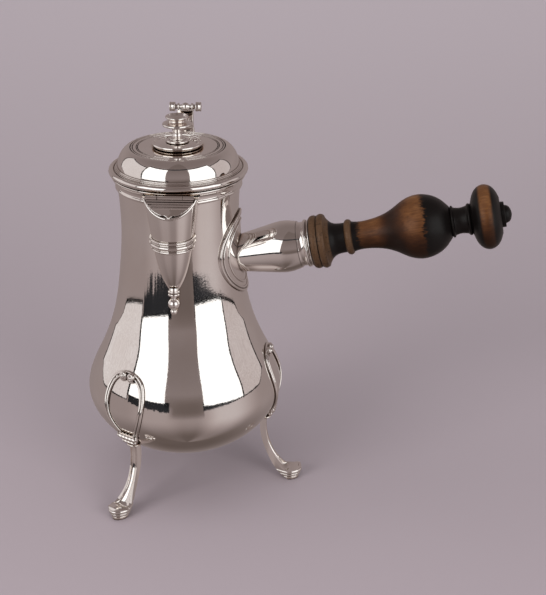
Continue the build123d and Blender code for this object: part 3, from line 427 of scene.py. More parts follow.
# ---------------------------------------------------------------- body
# The body is raised from one sheet of silver into a pear and planished smooth. Its wall is
# turned at the mouth under the rim moulding, and a hole in the neck lets into the spout.
def fair_line(points, start=None, end=None, steps=8):
    """The smooth line that a batten takes through the points, steps to each span."""
    knots = [Vector(point) for point in points]
    spans = [(after - before).length for before, after in zip(knots, knots[1:])]
    last = len(knots) - 1
    system = numpy.eye(last + 1)
    right = numpy.zeros((last + 1, len(knots[0])))
    for number in range(1, last):
        before, after = spans[number - 1], spans[number]
        system[number, number - 1 : number + 2] = (after, 2 * (before + after), before)
        came = (knots[number] - knots[number - 1]) * (after / before)
        goes = (knots[number + 1] - knots[number]) * (before / after)
        right[number] = 3 * (came + goes)
    for row, beside, slope in ((0, 1, start), (last, last - 1, end)):
        if slope is None:
            system[row, row], system[row, beside] = 2, 1
            right[row] = 3 * (knots[max(row, beside)] - knots[min(row, beside)])
            right[row] /= spans[min(row, beside)]
        else:
            right[row] = Vector(slope).normalized()
    slopes = [Vector(row) for row in numpy.linalg.solve(system, right)]
    line = [knots[0]]
    for number, span in enumerate(spans):
        first, second = knots[number], knots[number + 1]
        line += interpolate_bezier(
            first,
            first + slopes[number] * span / 3,
            second - slopes[number + 1] * span / 3,
            second,
            steps + 1,
        )[1:]
    return line


def bead(radius, height, round_radius, start, stop, steps=8):
    """Points round a bead's section, from one angle to another, 0 outward and 90 up."""
    turns = [radians(start + (stop - start) * step / steps) for step in range(steps + 1)]
    return [
        Vector((radius + round_radius * cos(turn), height + round_radius * sin(turn)))
        for turn in turns
    ]


def turned(bm, line, foot=(0, 0, 0), along=(0, 0, 1), across=(1, 0, 0), steps=128):
    """Turns (radius, height) points about an axis through foot."""
    foot, along, across = Vector(foot), Vector(along), Vector(across)
    corners = [bm.verts.new(foot + across * point[0] + along * point[1]) for point in line]
    edges = [bm.edges.new(pair) for pair in zip(corners, corners[1:])]
    bmesh.ops.spin(
        bm, geom=corners + edges, cent=foot, axis=along, angle=2 * pi, steps=steps, use_merge=True
    )
    bmesh.ops.remove_doubles(bm, verts=bm.verts, dist=0.0005)
    bmesh.ops.recalc_face_normals(bm, faces=bm.faces)
    return bm


WALL = 1.2
PEAR = fair_line(
    [
        (0, 26.6),
        (37.0, 34.6),
        (59.0, 66.0),
        (50.2, 91.0),
        (40.4, 118.5),
        (36.5, 144.0),
        (34.7, 166.0),
        (36.2, 201.0),
    ],
    start=(1, 0),
    end=(0.08, 1),
    steps=14,
)


def radius_at(line, height):
    """The radius of a rising (radius, height) line at one height."""
    for low, high in zip(line, line[1:]):
        if low.y <= height <= high.y:
            return low.x + (high.x - low.x) * (height - low.y) / (high.y - low.y)
    return line[-1].x


def pear_radius(height):
    """The pear's outside radius at one height above the table."""
    return radius_at(PEAR, height)


def way_along(line, number):
    """The direction that a line takes at one of its points."""
    ahead = line[min(number + 1, len(line) - 1)] - line[max(number - 1, 0)]
    return ahead.normalized()


def inside(line, wall):
    """The line moved to its left by a wall's thickness, ends kept square to it."""
    moved = []
    for number, point in enumerate(line):
        ahead = way_along(line, number)
        moved.append(Vector((max(point.x - wall * ahead.y, 0), point.y + wall * ahead.x)))
    return moved


def trimmed(mesh_object, tool, operation="DIFFERENCE"):
    """Cuts one drawing with another and returns the result as a drawing in millimetres."""
    objects = []
    for drawing in (mesh_object, tool):
        data = bpy.data.meshes.new("blank")
        drawing.to_mesh(data)
        drawing.free()
        blank = bpy.data.objects.new("blank", data)
        scene.collection.objects.link(blank)
        objects.append(blank)
    cut = objects[0].modifiers.new("cut", "BOOLEAN")
    cut.operation = operation
    cut.object = objects[1]
    cut.solver = "EXACT"
    shaped = objects[0].evaluated_get(bpy.context.evaluated_depsgraph_get())
    result = bmesh.new()
    result.from_mesh(shaped.to_mesh())
    for blank in objects:
        bpy.data.objects.remove(blank)
    return result


def softened(bm, edges, offset, segments=3):
    """Rounds the given edges of a drawing."""
    bmesh.ops.bevel(
        bm, geom=edges, offset=offset, segments=segments, profile=0.5, affect="EDGES", material=-1
    )


# the hole's width, its height, and how high its middle is
NECK_HOLE = (16.0, 24.0, 173.0)

lining = inside(PEAR[:-1], WALL) + [PEAR[-1] - Vector((WALL, 0))]
raised = turned(bmesh.new(), PEAR + list(reversed(lining)), steps=192)
hole = bmesh.new()
bmesh.ops.create_cube(hole, size=1.0)
bmesh.ops.scale(hole, verts=hole.verts, vec=(NECK_HOLE[0], 20.0, NECK_HOLE[1]))
through_wall = [edge for edge in hole.edges if abs((edge.verts[0].co - edge.verts[1].co).y) > 1]
softened(hole, through_wall, 5.3, 6)
bmesh.ops.translate(hole, verts=hole.verts, vec=(0, -35.0, NECK_HOLE[2]))
settle(trimmed(raised, hole), "body", raised_silver, "pot", "body_shell")

# ---------------------------------------------------------------- rim moulding
# A drawn moulding is soldered round the mouth: a bead on the neck, a hollow above it and a
# plain lip that the lid rests on.
RIM_LIP = 39.0
turned_rim = bmesh.new()
turned(
    turned_rim,
    [(34.8, 192.6)]
    + [(35.3, 192.6)]
    + bead(35.9, 193.9, 1.15, -75, 62)
    + [(36.3, 195.2)]
    + fair_line([(36.3, 195.4), (36.9, 197.6), (38.7, 199.3)], start=(0.1, 1), end=(1, 0.25))
    + bead(RIM_LIP - 0.55, 200.2, 0.6, -60, 70)
    + [(38.0, 201.0), (34.8, 201.0), (34.8, 192.6)],
    steps=160,
)
settle(turned_rim, "mouth_moulding", silver, "pot", "rim_moulding")

# ---------------------------------------------------------------- lid
# The dome is raised from sheet, and its flat top is engraved with two double rings, the outer
# one milled. It is soldered to a cast flange with a torus edge and three fine reeds.
DOME_FOOT = 35.4
DOME_TOP = 216.6
COLLAR = 9.2


def engraved(radius, height, width=0.5, depth=0.75):
    """A ring cut into a flat top, as three points of its outline."""
    return [
        (radius + width / 2, height),
        (radius, height - depth),
        (radius - width / 2, height),
    ]


dome_side = fair_line(
    [(DOME_FOOT, 204.1), (35.15, 207.4), (33.4, 212.4), (27.9, DOME_TOP - 0.05)],
    start=(0, 1),
    end=(-1, 0.03),
    steps=14,
)
dome_under = inside(dome_side, 1.1)
dome = bmesh.new()
turned(
    dome,
    dome_side
    + engraved(27.5, DOME_TOP, 0.6, 0.85)
    + engraved(26.2, DOME_TOP)
    + engraved(24.0, DOME_TOP)
    + engraved(23.2, DOME_TOP)
    + [(COLLAR, DOME_TOP), (COLLAR, DOME_TOP - 1.1)]
    + list(reversed(dome_under))
    + [dome_side[0]],
    steps=160,
)
settle(dome, "dome", silver, "lid", "lid_dome", sharp=12)

milled_ring = bmesh.new()
MILLED = 108
for number in range(MILLED):
    bmesh.ops.create_icosphere(
        milled_ring,
        subdivisions=1,
        radius=0.42,
        matrix=Matrix.Rotation(2 * pi * number / MILLED, 4, "Z")
        @ Matrix.Translation((26.85, 0, DOME_TOP - 0.2)),
    )
settle(milled_ring, "milled_ring", silver, "lid", sharp=70)

flange = bmesh.new()
turned(
    flange,
    [(34.0, 203.0), (34.0, 201.3), (37.4, 201.3)]
    + bead(38.75, 203.15, 1.75, -78, 128)
    + [(37.35, 204.1)]
    + bead(36.72, 204.35, 0.42, -20, 100, 5)
    + bead(36.2, 205.1, 0.42, -20, 100, 5)
    + bead(35.72, 205.85, 0.42, -20, 120, 5)
    + [(35.3, 206.2), (35.3, 203.0), (34.0, 203.0)],
    steps=160,
)
settle(flange, "flange", silver, "lid", "lid_rim")

# ---------------------------------------------------------------- stirrer cover and finial
# The disc over the stirrer hole turns on a rivet near its edge. It is a flat dish with a
# moulded edge, and the finial, cast and turned, is riveted through its middle.
COVER_FOOT = 216.9
COVER_FLOOR = 219.0
cover = bmesh.new()
turned(
    cover,
    [(0, COVER_FOOT), (13.2, COVER_FOOT)]
    + bead(13.3, 217.5, 0.58, -80, 80)
    + [(13.15, 218.1)]
    + bead(14.15, 218.75, 0.82, -70, 110)
    + bead(13.35, 219.35, 0.24, 60, 180, 4)
    + [(13.0, COVER_FLOOR + 0.05), (12.2, COVER_FLOOR), (11.9, COVER_FLOOR - 0.1)]
    + [(11.6, COVER_FLOOR), (0, COVER_FLOOR)],
    steps=128,
)
settle(cover, "cover_disc", silver, "cover", "stirrer_cover")

finial = bmesh.new()
turned(
    finial,
    [(0, COVER_FLOOR - 0.4), (5.6, COVER_FLOOR - 0.4)]
    + bead(5.75, COVER_FLOOR + 0.95, 0.98, -70, 86)
    + [(5.2, COVER_FLOOR + 2.0)]
    + bead(4.5, COVER_FLOOR + 2.3, 0.42, -40, 86, 5)
    + fair_line(
        [(4.1, 221.9), (2.75, 223.2), (2.5, 225.0), (3.3, 226.9), (6.2, 228.3)], steps=6
    )
    + bead(7.7, 229.6, 0.85, -70, 80)
    + fair_line([(7.2, 230.6), (5.3, 231.2), (4.75, 232.2), (5.6, 233.2)], steps=6)
    + bead(6.05, 233.95, 0.62, -60, 112, 8)
    + fair_line([(5.5, 234.1), (4.7, 233.2), (3.0, 232.6), (0, 232.5)], end=(-1, 0), steps=6),
    steps=96,
)
settle(finial, "turned_finial", silver, "cover", "finial")

# ---------------------------------------------------------------- lid hinge and thumb piece
# The hinge has five knuckles on one pin. Its lower leaf is a bracket under the rim, and the
# upper leaf lies on the flange and carries the thumb piece, which lifts the lid.
def smoothed_copy(node_name, body, sharp=32):
    """A piece that follows a simple part of the construction, shaded smooth but for its sharp edges.
    """
    copy = bmesh.new()
    copy.from_mesh(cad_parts[node_name].data)
    bmesh.ops.remove_doubles(copy, verts=copy.verts, dist=0.000005)
    bmesh.ops.scale(copy, verts=copy.verts, vec=(1 / MM, 1 / MM, 1 / MM))
    bmesh.ops.translate(copy, verts=copy.verts, vec=-POT_AXIS)
    return settle(copy, node_name + "_finished", silver, body, node_name, sharp=sharp)


smoothed_copy("hinge_body_leaf", "pot")
smoothed_copy("hinge_pin", "pot")
smoothed_copy("lid_hinge_leaf", "lid")

THUMB = Vector((0, 41.0, 228.2))
thumb_bar = bmesh.new()
bar_line = (
    [(0, 9.4), (2.1, 9.4)]
    + bead(2.35, 9.05, 0.5, 60, 0, 4)
    + [(2.55, 8.2), (2.72, 7.9), (2.72, 7.2)]
    + bead(2.35, 6.6, 0.5, 0, -70, 4)
    + [(1.4, 6.1), (1.4, 4.8)]
    + bead(1.7, 4.1, 0.55, 70, -70, 6)
    + [(1.25, 3.45), (1.15, 3.0), (1.3, 2.5)]
    + bead(0.0, 0.0, 2.42, 52, 0, 10)
)
turned(
    thumb_bar,
    bar_line + [(radius, -along) for radius, along in reversed(bar_line[:-1])],
    foot=THUMB,
    along=(1, 0, 0),
    across=(0, 0, 1),
    steps=48,
)
settle(thumb_bar, "thumb_roll", silver, "lid", "thumb_bar")


def slab(points, move):
    """A flat outline given a thickness."""
    solid = bmesh.new()
    face = solid.faces.new([solid.verts.new(point) for point in points])
    grown = bmesh.ops.extrude_face_region(solid, geom=[face])["geom"]
    far_side = [item for item in grown if isinstance(item, bmesh.types.BMVert)]
    bmesh.ops.translate(solid, verts=far_side, vec=move)
    bmesh.ops.recalc_face_normals(solid, faces=solid.faces)
    return solid


post_side = fair_line([(6.0, 209.1), (4.6, 217.0), (5.2, 227.2)], steps=8)
post_outline = [(-side.x, 0, side.y) for side in post_side]
post_outline += [(side.x, 0, side.y) for side in reversed(post_side)]
POST_THICKNESS = 3.0
thumb_post = slab(post_outline, (0, -POST_THICKNESS, 0))
softened(thumb_post, [edge for edge in thumb_post.edges if edge.calc_face_angle(0) > 1], 0.5)
bmesh.ops.translate(
    thumb_post, verts=thumb_post.verts, vec=(0, THUMB.y + POST_THICKNESS / 2, 0)
)
settle(thumb_post, "thumb_plate", silver, "lid", "thumb_post")

# ---------------------------------------------------------------- spout
# The spout is half a goblet of sheet silver soldered to the neck, with a sloping mouth edged
# by a wire, a moulded band round its waist and a cast drop under its tip.
BEAK_FOOT = Vector((0, -35.0, 0))
BEAK = fair_line(
    [(3.2, 142.0), (5.9, 147.6), (8.1, 154.0), (11.5, 171.0), (14.0, 188.0), (15.5, 198.7)],
    steps=8,
)
MOUTH_START = -40.4
MOUTH_TOP = 198.7


def beak_radius(height):
    """The goblet's radius at one height."""
    return radius_at(BEAK, height)


def pear_blank(outward=0.0):
    """The pear as a solid, grown by a thickness."""
    grown = inside(PEAR, -outward)
    return turned(bmesh.new(), grown + [(0, grown[-1].y)], steps=192)


def block(low, high):
    """A box between two corners."""
    box = bmesh.new()
    low, high = Vector(low), Vector(high)
    bmesh.ops.create_cube(box, size=1.0)
    bmesh.ops.scale(box, verts=box.verts, vec=high - low)
    bmesh.ops.translate(box, verts=box.verts, vec=(low + high) / 2)
    return box


def mouth_block(lowered=0.0):
    """Everything above the spout's sloping mouth."""
    box = block((-40, -80, 0), (40, 0, 60))
    bmesh.ops.rotate(box, verts=box.verts, matrix=Matrix.Rotation(radians(45), 3, "X"))
    bmesh.ops.translate(
        box, verts=box.verts, vec=(0, MOUTH_START, MOUTH_TOP - lowered * sqrt(2))
    )
    return box


beak = turned(
    bmesh.new(),
    [(0, 142.0)] + BEAK + list(reversed(inside(BEAK, 1.1)[2:])) + [(0, 145.0)],
    foot=BEAK_FOOT,
    steps=160,
)
beak = trimmed(beak, pear_blank())
beak = trimmed(beak, mouth_block(0.4))
beak = trimmed(beak, block((-40, -60, 197.4), (40, 0, 210)))
settle(beak, "spout_cup", silver, "pot", "spout_beak")


def drawn(bm, section, stations, closed=False):
    """Draws a closed section through stations, each a matrix with Z along the path."""
    corners = [bm.verts.new(stations[0] @ Vector((*point, 0))) for point in section]
    ring = [bm.edges.new(pair) for pair in zip(corners, corners[1:] + corners[:1])]
    start = list(ring)
    for before, after in zip(stations, stations[1:]):
        grown = bmesh.ops.extrude_edge_only(bm, edges=ring)["geom"]
        moved = [item for item in grown if isinstance(item, bmesh.types.BMVert)]
        ring = [
            item
            for item in grown
            if isinstance(item, bmesh.types.BMEdge)
            and item.verts[0] in moved
            and item.verts[1] in moved
        ]
        bmesh.ops.transform(bm, matrix=after @ before.inverted(), verts=moved)
    if closed:
        bmesh.ops.bridge_loops(bm, edges=start + ring)
    else:
        bmesh.ops.contextual_create(bm, geom=start)
        bmesh.ops.contextual_create(bm, geom=ring)
    bmesh.ops.recalc_face_normals(bm, faces=bm.faces)
    return bm


def stations_on(points, outward, closed=False, sizes=None):
    """Stations along points, with Y turned towards an outward direction at each point."""
    places = []
    for number, point in enumerate(points):
        if closed:
            ahead = (points[(number + 1) % len(points)] - points[number - 1]).normalized()
        else:
            ahead = way_along(points, number)
        out = Vector(outward(point))
        out = (out - ahead * out.dot(ahead)).normalized()
        side = out.cross(ahead)
        size = sizes[number] if sizes else 1.0
        turn = Matrix((side * size, out * size, ahead)).transposed().to_4x4()
        places.append(Matrix.Translation(point) @ turn)
    return places


def round_section(radius, corners=12):
    """A wire's round section."""
    turns = [2 * pi * step / corners for step in range(corners)]
    return [(radius * cos(swing), radius * sin(swing)) for swing in turns]


# the wire round the mouth
mouth_edge = []
for step in range(-70, 71):
    swing = radians(step * 1.6)
    height = MOUTH_TOP
    for _ in range(12):
        reach = BEAK_FOOT.y - beak_radius(height) * cos(swing)
        height = min(MOUTH_TOP, MOUTH_TOP + reach - MOUTH_START)
    radius = beak_radius(height)
    point = Vector((radius * sin(swing), BEAK_FOOT.y - radius * cos(swing), height - 0.35))
    if hypot(point.x, point.y) > pear_radius(point.z) + 0.2 and height < MOUTH_TOP - 0.01:
        mouth_edge.append(point)
mouth_wire = drawn(
    bmesh.new(),
    round_section(0.85),
    stations_on(mouth_edge, lambda point: (point.x, point.y - BEAK_FOOT.y, 0.3)),
)
settle(mouth_wire, "mouth_wire", silver, "pot", "spout_lip")

smoothed_copy("spout_bridge", "pot")
smoothed_copy("flap_pin", "pot")

# the flap is hinged at the neck and lies on the mouth; three reeds cross it by its hinge
FLAP_PIN = Vector((0, -41.5, 199.3))
flap_lay = Matrix.Translation((0, -41.5, 197.6 + 0.3 * sqrt(2))) @ Matrix.Rotation(
    radians(45), 4, "X"
)
flap_half = fair_line(
    [(13.6, 1.9), (12.3, 3.9), (10.4, 6.0), (7.4, 8.4), (4.0, 9.8), (2.9, 9.8)], steps=5
)
flap_half += fair_line([(2.5, 9.9), (1.4, 10.6), (0.0, 12.0)], start=(-0.9, 0.25), steps=5)
flap_outline = [(side.x, -side.y, 0) for side in flap_half]
flap_outline += [(-side.x, -side.y, 0) for side in reversed(flap_half[:-1])]
flap = slab(flap_outline, (0, 0, 0.85))
upper_edges = [
    edge
    for edge in flap.edges
    if edge.calc_face_angle(0) > 1 and min(vert.co.z for vert in edge.verts) > 0.5
]
softened(flap, upper_edges, 0.3)
for down, half_length in ((0.9, 13.2), (2.45, 13.0), (4.0, 11.9), (5.55, 10.4)):
    reed_path = [Vector((along, -down, 0.75)) for along in (-half_length, 0, half_length)]
    drawn(flap, round_section(0.62), stations_on(reed_path, lambda point: (0, 0, 1)))
bmesh.ops.create_uvsphere(
    flap,
    u_segments=16,
    v_segments=10,
    radius=0.95,
    matrix=Matrix.Translation((0, -11.5, 0.75)),
)
bmesh.ops.transform(flap, verts=flap.verts, matrix=flap_lay)
turned(
    flap,
    [(0, -13.4), (0.8, -13.2), (0.8, -7.1), (1.05, -7.1), (1.25, -6.9)]
    + [(1.25, 6.9), (1.05, 7.1), (0.8, 7.1), (0.8, 13.2), (0, 13.4)],
    foot=FLAP_PIN,
    along=(1, 0, 0),
    across=(0, 0, 1),
    steps=32,
)
settle(flap, "mouth_flap", silver, "flap", "spout_flap")

# the band: a wide bead between two narrow ones, each given by how far above the middle it is
BAND = 171.0


def band_at(above_middle, outward):
    """A point of the band's section, outward from the goblet."""
    return beak_radius(BAND + above_middle) + outward, BAND + above_middle


band = turned(
    bmesh.new(),
    [band_at(-3.7, -0.5), band_at(-3.7, 0.3)]
    + bead(*band_at(-2.9, 0.55), 0.8, -70, 70)
    + [(beak_radius(BAND - 1.6) + 0.45, BAND - 1.7)]
    + bead(*band_at(0, 0.6), 1.25, -75, 75)
    + [(beak_radius(BAND + 1.6) + 0.45, BAND + 1.7)]
    + bead(*band_at(2.9, 0.55), 0.8, -70, 70)
    + [band_at(3.7, 0.3), band_at(3.7, -0.5), band_at(-3.7, -0.5)],
    foot=BEAK_FOOT,
    steps=128,
)
settle(trimmed(band, pear_blank()), "waist_band", silver, "pot", "spout_band")

# the drop under the tip
lean = radians(12)
drop = bmesh.new()
drop_down = Vector((0, -sin(lean), -cos(lean)))
turned(
    drop,
    [(0, -1.5), (2.6, -1.5)]
    + bead(2.55, 0.85, 0.75, -80, 80, 6)
    + bead(2.45, 2.55, 0.75, -80, 80, 6)
    + [(1.7, 3.6), (1.5, 4.4)]
    + bead(0, 7.9, 3.25, -62, 60, 14)
    + [(1.2, 10.95)]
    + bead(0, 12.4, 1.9, -50, 90, 10),
    foot=(0, -38.0, 142.0),
    along=drop_down,
    steps=48,
)
settle(drop, "tip_drop", silver, "pot", "spout_drop")

# ---------------------------------------------------------------- handle socket
# A round plate with beaded edges is soldered to the neck. The socket stands on it and takes
# the wooden grip's tenon, and a ring moulding closes its mouth. A rivet goes through both.
turn = radians(-2.5)
rise = radians(11)
HANDLE_ROOT = Vector((0, 0, 144.4))
ALONG = Vector((cos(rise) * cos(turn), cos(rise) * sin(turn), sin(rise)))
ASIDE = Vector((-sin(turn), cos(turn), 0))
UPWARD = ALONG.cross(ASIDE)


def handle_turned(bm, outline, steps=128):
    """Turns (distance, radius) points about the handle's axis."""
    line = [(radius, along) for along, radius in outline]
    return turned(bm, line, foot=HANDLE_ROOT, along=ALONG, across=UPWARD, steps=steps)


PLATE_MIDDLE = 153.7
PLATE_RADIUS = 24.6

plate_column = turned(
    bmesh.new(),
    [(0, 20), (PLATE_RADIUS - 0.4, 20), (PLATE_RADIUS - 0.4, 52), (0, 52)],
    foot=(0, 0, PLATE_MIDDLE),
    along=(cos(turn), sin(turn), 0),
    across=(0, 0, 1),
    steps=128,
)
plate = trimmed(pear_blank(1.0), plate_column, "INTERSECT")
plate = trimmed(plate, pear_blank())


def on_pear(aside, height, outward, azimuth=0.0):
    """The point of the grown pear that lies aside of one azimuth, at one height."""
    radius = pear_radius(height) + outward
    reach = sqrt(radius * radius - aside * aside)
    return Vector(
        (
            reach * cos(azimuth) - aside * sin(azimuth),
            reach * sin(azimuth) + aside * cos(azimuth),
            height,
        )
    )


for ring_radius, wire in ((23.95, 0.68), (22.3, 0.6), (18.7, 0.62)):
    circle = [
        on_pear(
            ring_radius * sin(2 * pi * step / 120),
            PLATE_MIDDLE + ring_radius * cos(2 * pi * step / 120),
            1.05,
            turn,
        )
        for step in range(120)
    ]
    drawn(
        plate,
        round_section(wire),
        stations_on(circle, lambda point: (point.x, point.y, 0), closed=True),
        closed=True,
    )
settle(plate, "neck_plate", silver, "pot", "handle_plate")

SOCKET_WALL = 1.2
socket_line = fair_line(
    [(17.35, 8.5), (34.7, 10.8), (55.0, 14.2), (65.0, 15.2), (72.2, 13.8)], steps=10
)
socket_inside = [(point.x, point.y - SOCKET_WALL) for point in reversed(socket_line)]
socket = handle_turned(
    bmesh.new(), socket_line + [(72.2, 12.6)] + socket_inside + [socket_line[0]]
)
socket = trimmed(socket, pear_blank())
settle(socket, "grip_socket", silver, "pot", "handle_socket")

ring = handle_turned(
    bmesh.new(),
    [(72.3, 11.6), (72.3, 13.3), (72.9, 13.2), (73.4, 12.9), (75.2, 12.9)]
    + [(point.y, point.x) for point in bead(13.0, 76.9, 1.05, -80, 80)]
    + [(78.4, 12.95), (78.9, 13.3)]
    + [(point.y, point.x) for point in bead(13.45, 79.3, 0.5, -60, 80, 5)]
    + [(79.8, 13.2), (79.8, 11.6), (72.3, 11.6)],
)
settle(ring, "socket_mouth_ring", silver, "pot", "socket_ring")

# the rivet's two heads are low domes
pin_way = Matrix.Rotation(radians(-45), 3, ALONG) @ ASIDE
pin_middle = HANDLE_ROOT + ALONG * 60.5
rivet = turned(
    bmesh.new(),
    [(0, -15.3), (1.4, -15.0), (1.6, -14.4), (1.3, -14.2)]
    + [(1.3, 14.2), (1.6, 14.4), (1.4, 15.0), (0, 15.3)],
    foot=pin_middle,
    along=pin_way,
    across=ALONG,
    steps=24,
)
settle(rivet, "grip_rivet", silver, "pot", "handle_pin")

# ---------------------------------------------------------------- wooden grip
# The grip is turned from one piece of fruitwood and waxed: two rings at the socket, a thin
# stem with a collar, a bulb, a reel, a knob and a button. Its hollows were ebonised, and
# years of hands have worn the bulb and the knob back to golden brown.
GRIP_LINE = (
    [(53.9, 0), (53.9, 11.3), (80.0, 11.3), (80.0, 14.9)]
    + fair_line([(80.1, 15.0), (82.1, 15.7), (84.1, 15.0)], steps=6)
    + [(84.25, 14.5), (84.45, 14.5)]
    + fair_line([(84.6, 15.3), (86.5, 16.0), (88.4, 15.3)], steps=6)
    + [(88.6, 14.7)]
    + fair_line([(88.7, 14.3), (90.3, 11.9), (93.0, 9.6), (96.5, 8.8), (99.6, 8.7)], steps=8)
    + fair_line([(99.9, 8.9), (100.6, 9.9), (102.0, 10.4), (103.4, 9.9), (104.1, 8.9)], steps=5)
    + fair_line(
        [
            (104.4, 8.8),
            (107.0, 8.3),
            (111.0, 8.2),
            (117.5, 8.9),
            (127.5, 12.1),
            (136.0, 16.9),
            (144.0, 18.7),
            (150.5, 17.6),
            (156.2, 14.6),
            (161.2, 9.4),
        ],
        steps=8,
    )
    + fair_line([(161.7, 8.4), (162.1, 9.1), (162.6, 9.3), (163.1, 9.1), (163.5, 8.3)], steps=4)
    + fair_line([(163.9, 8.0), (167.2, 7.5), (170.6, 8.0)], steps=8)
    + fair_line([(171.2, 8.4), (171.7, 9.1), (172.3, 9.3), (172.9, 9.1), (173.3, 8.6)], steps=4)
    + fair_line(
        [
            (173.6, 9.2),
            (174.9, 13.0),
            (177.6, 17.0),
            (182.0, 18.8),
            (186.4, 17.2),
            (189.3, 13.2),
            (190.4, 10.2),
        ],
        steps=10,
    )
    + [(190.5, 7.4), (192.4, 7.4), (192.7, 7.1), (192.7, 5.4)]
    + fair_line([(192.8, 5.3), (194.6, 4.6), (196.0, 2.5), (196.45, 0)], end=(0, -1), steps=6)
)

wood = bpy.data.materials.new("turned fruitwood")
wood.use_nodes = True
paint = Paint(wood.node_tree)
place = paint.add("ShaderNodeTexCoord").outputs["Object"]
foot = (POT_AXIS + HANDLE_ROOT) * MM


def measured(direction):
    """Millimetres from the handle's root in one direction."""
    dot = {"operation": "DOT_PRODUCT"}
    at = paint.value("ShaderNodeVectorMath", dot, {0: place, 1: direction}, 1)
    return at * 1000 - foot.dot(direction) * 1000


along, aside, upward = measured(ALONG), measured(ASIDE), measured(UPWARD)


def across_grain(fine, stretch, detail=3.0):
    """Noise drawn out along the handle, fine per millimetre across it."""
    spread = paint.add(
        "ShaderNodeCombineXYZ",
        inputs={0: along * (fine / stretch), 1: aside * fine, 2: upward * fine},
    )
    return paint.value(
        "ShaderNodeTexNoise", inputs={"Vector": spread.outputs[0], "Scale": 1.0, "Detail": detail}
    )


def band_of(low, high, soft=0.6):
    """1 between two distances along the handle, with softened ends."""
    rises = slope_between(along, low - soft, low + soft)
    return rises * (1 - slope_between(along, high - soft, high + soft))


grain = across_grain(1.1, 14.0)
clouds = across_grain(0.13, 1.3, 4.0)
pores = across_grain(3.4, 9.0, 2.0)
flecks = across_grain(1.3, 3.5, 5.0)
worn = along + (clouds - 0.5) * 7 + (flecks - 0.5) * 9
worn_bulb = slope_between(worn, 145.2, 147.4, 1.0, 0.0)
worn_stem = slope_between(along + (flecks - 0.5) * 8, 107.0, 109.6)
bare_wood = (
    band_of(80.2, 84.1, 0.25) * slope_between(flecks, 0.30, 0.42)
    + band_of(84.7, 91.0, 0.35) * slope_between(flecks, 0.32, 0.42)
    + band_of(100.0, 104.0, 0.35)
    + band_of(104.2, 152.0, 0.3) * worn_stem * worn_bulb
    + band_of(179.0, 185.6, 0.9)
)
# painted light and shade: the brown is darker where the bulb narrows towards the stem and on the
# grip's underside, and lighter on its top
grip_painted_shading = slope_between(along, 118.0, 127.0, 1.0, 0.36) + slope_between(along, 128.5, 140.5, 0.0, 0.7)
grip_painted_shading = grip_painted_shading * slope_between(upward, -10.0, 12.0, 0.36, 1.08)
wood_tone = paint.add(
    "ShaderNodeValToRGB",
    {
        "stops": [
            (0.14, (0.0075, 0.0028, 0.0016)),
            (0.36, (0.036, 0.0125, 0.0045)),
            (0.58, (0.088, 0.034, 0.0112)),
            (0.85, (0.165, 0.072, 0.0255)),
        ]
    },
    {"Fac": (0.42 * clouds + 0.34 * grain + 0.16 * pores + 0.06) * grip_painted_shading},
)
ring_tone = paint.add(
    "ShaderNodeMix",
    {"data_type": "RGBA"},
    {"Factor": flecks, "A": (0.030, 0.014, 0.007, 1), "B": (0.092, 0.050, 0.026, 1)},
)
toned = paint.add(
    "ShaderNodeMix",
    {"data_type": "RGBA"},
    {
        "Factor": band_of(79.0, 104.2, 0.4),
        "A": wood_tone.outputs[0],
        "B": ring_tone.outputs["Result"],
    },
)
wood_colour = paint.add(
    "ShaderNodeMix",
    {"data_type": "RGBA"},
    {"Factor": bare_wood, "A": (0.0032, 0.0024, 0.0022, 1), "B": toned.outputs["Result"]},
)
tool_marks = paint.add(
    "ShaderNodeBump", inputs={"Strength": 0.15, "Distance": 0.0002, "Height": pores + flecks}
)
shader = paint.add(
    "ShaderNodeBsdfPrincipled",
    inputs={
        "Base Color": wood_colour.outputs["Result"],
        "Roughness": 0.27 + 0.2 * flecks,
        "Specular IOR Level": 0.22,
        "Normal": tool_marks.outputs[0],
    },
)
paint.add("ShaderNodeOutputMaterial", inputs={"Surface": shader.outputs[0]})

grip = handle_turned(bmesh.new(), GRIP_LINE, steps=160)
settle(grip, "turned_grip", wood, "pot", "handle_grip", sharp=28)

# ---------------------------------------------------------------- legs
# Each of the three legs is one casting, soldered to the belly: an oval moulding with two
# volutes at its head, a roped crossbar, and a fluted shank that curls out to a reeded toe.
SHANK_THICKNESS = 4.1
LEG_PLACES = (("leg_under_handle", -2.5), ("leg_beside_spout", -122.5), ("leg_at_back", 117.5))


def oval_points(inset, count=12):
    """The oval frame's centre line on the belly, from its foot up one side and down the other."""
    widest = 14.6 - inset
    foot_height, head_height = 46.5 + inset, 91.8 - inset
    half = fair_line(
        [
            (5.0 - inset * 0.6, foot_height),
            (0.84 * widest, (foot_height + 75.0) / 2),
            (widest, 75.0),
            (0.66 * widest, head_height - 3.4),
            (0, head_height),
        ],
        start=(0.5, 1),
        end=(-1, 0),
        steps=count,
    )
    return half + [Vector((-point.x, point.y)) for point in reversed(half[:-1])]


leg = bmesh.new()
for inset, wire, sink in ((0.75, 0.82, 0.55), (2.35, 0.72, 0.5)):
    path = [on_pear(point.x, point.y, sink) for point in oval_points(inset)]
    drawn(
        leg,
        round_section(wire, 10),
        stations_on(path, lambda point: (point.x, point.y, 0)),
    )
# the flat between the two wires
path = [on_pear(point.x, point.y, 0.25) for point in oval_points(1.55)]
drawn(
    leg,
    [(-0.95, -0.4), (0.95, -0.4), (0.95, 0.35), (-0.95, 0.35)],
    stations_on(path, lambda point: (point.x, point.y, 0)),
)

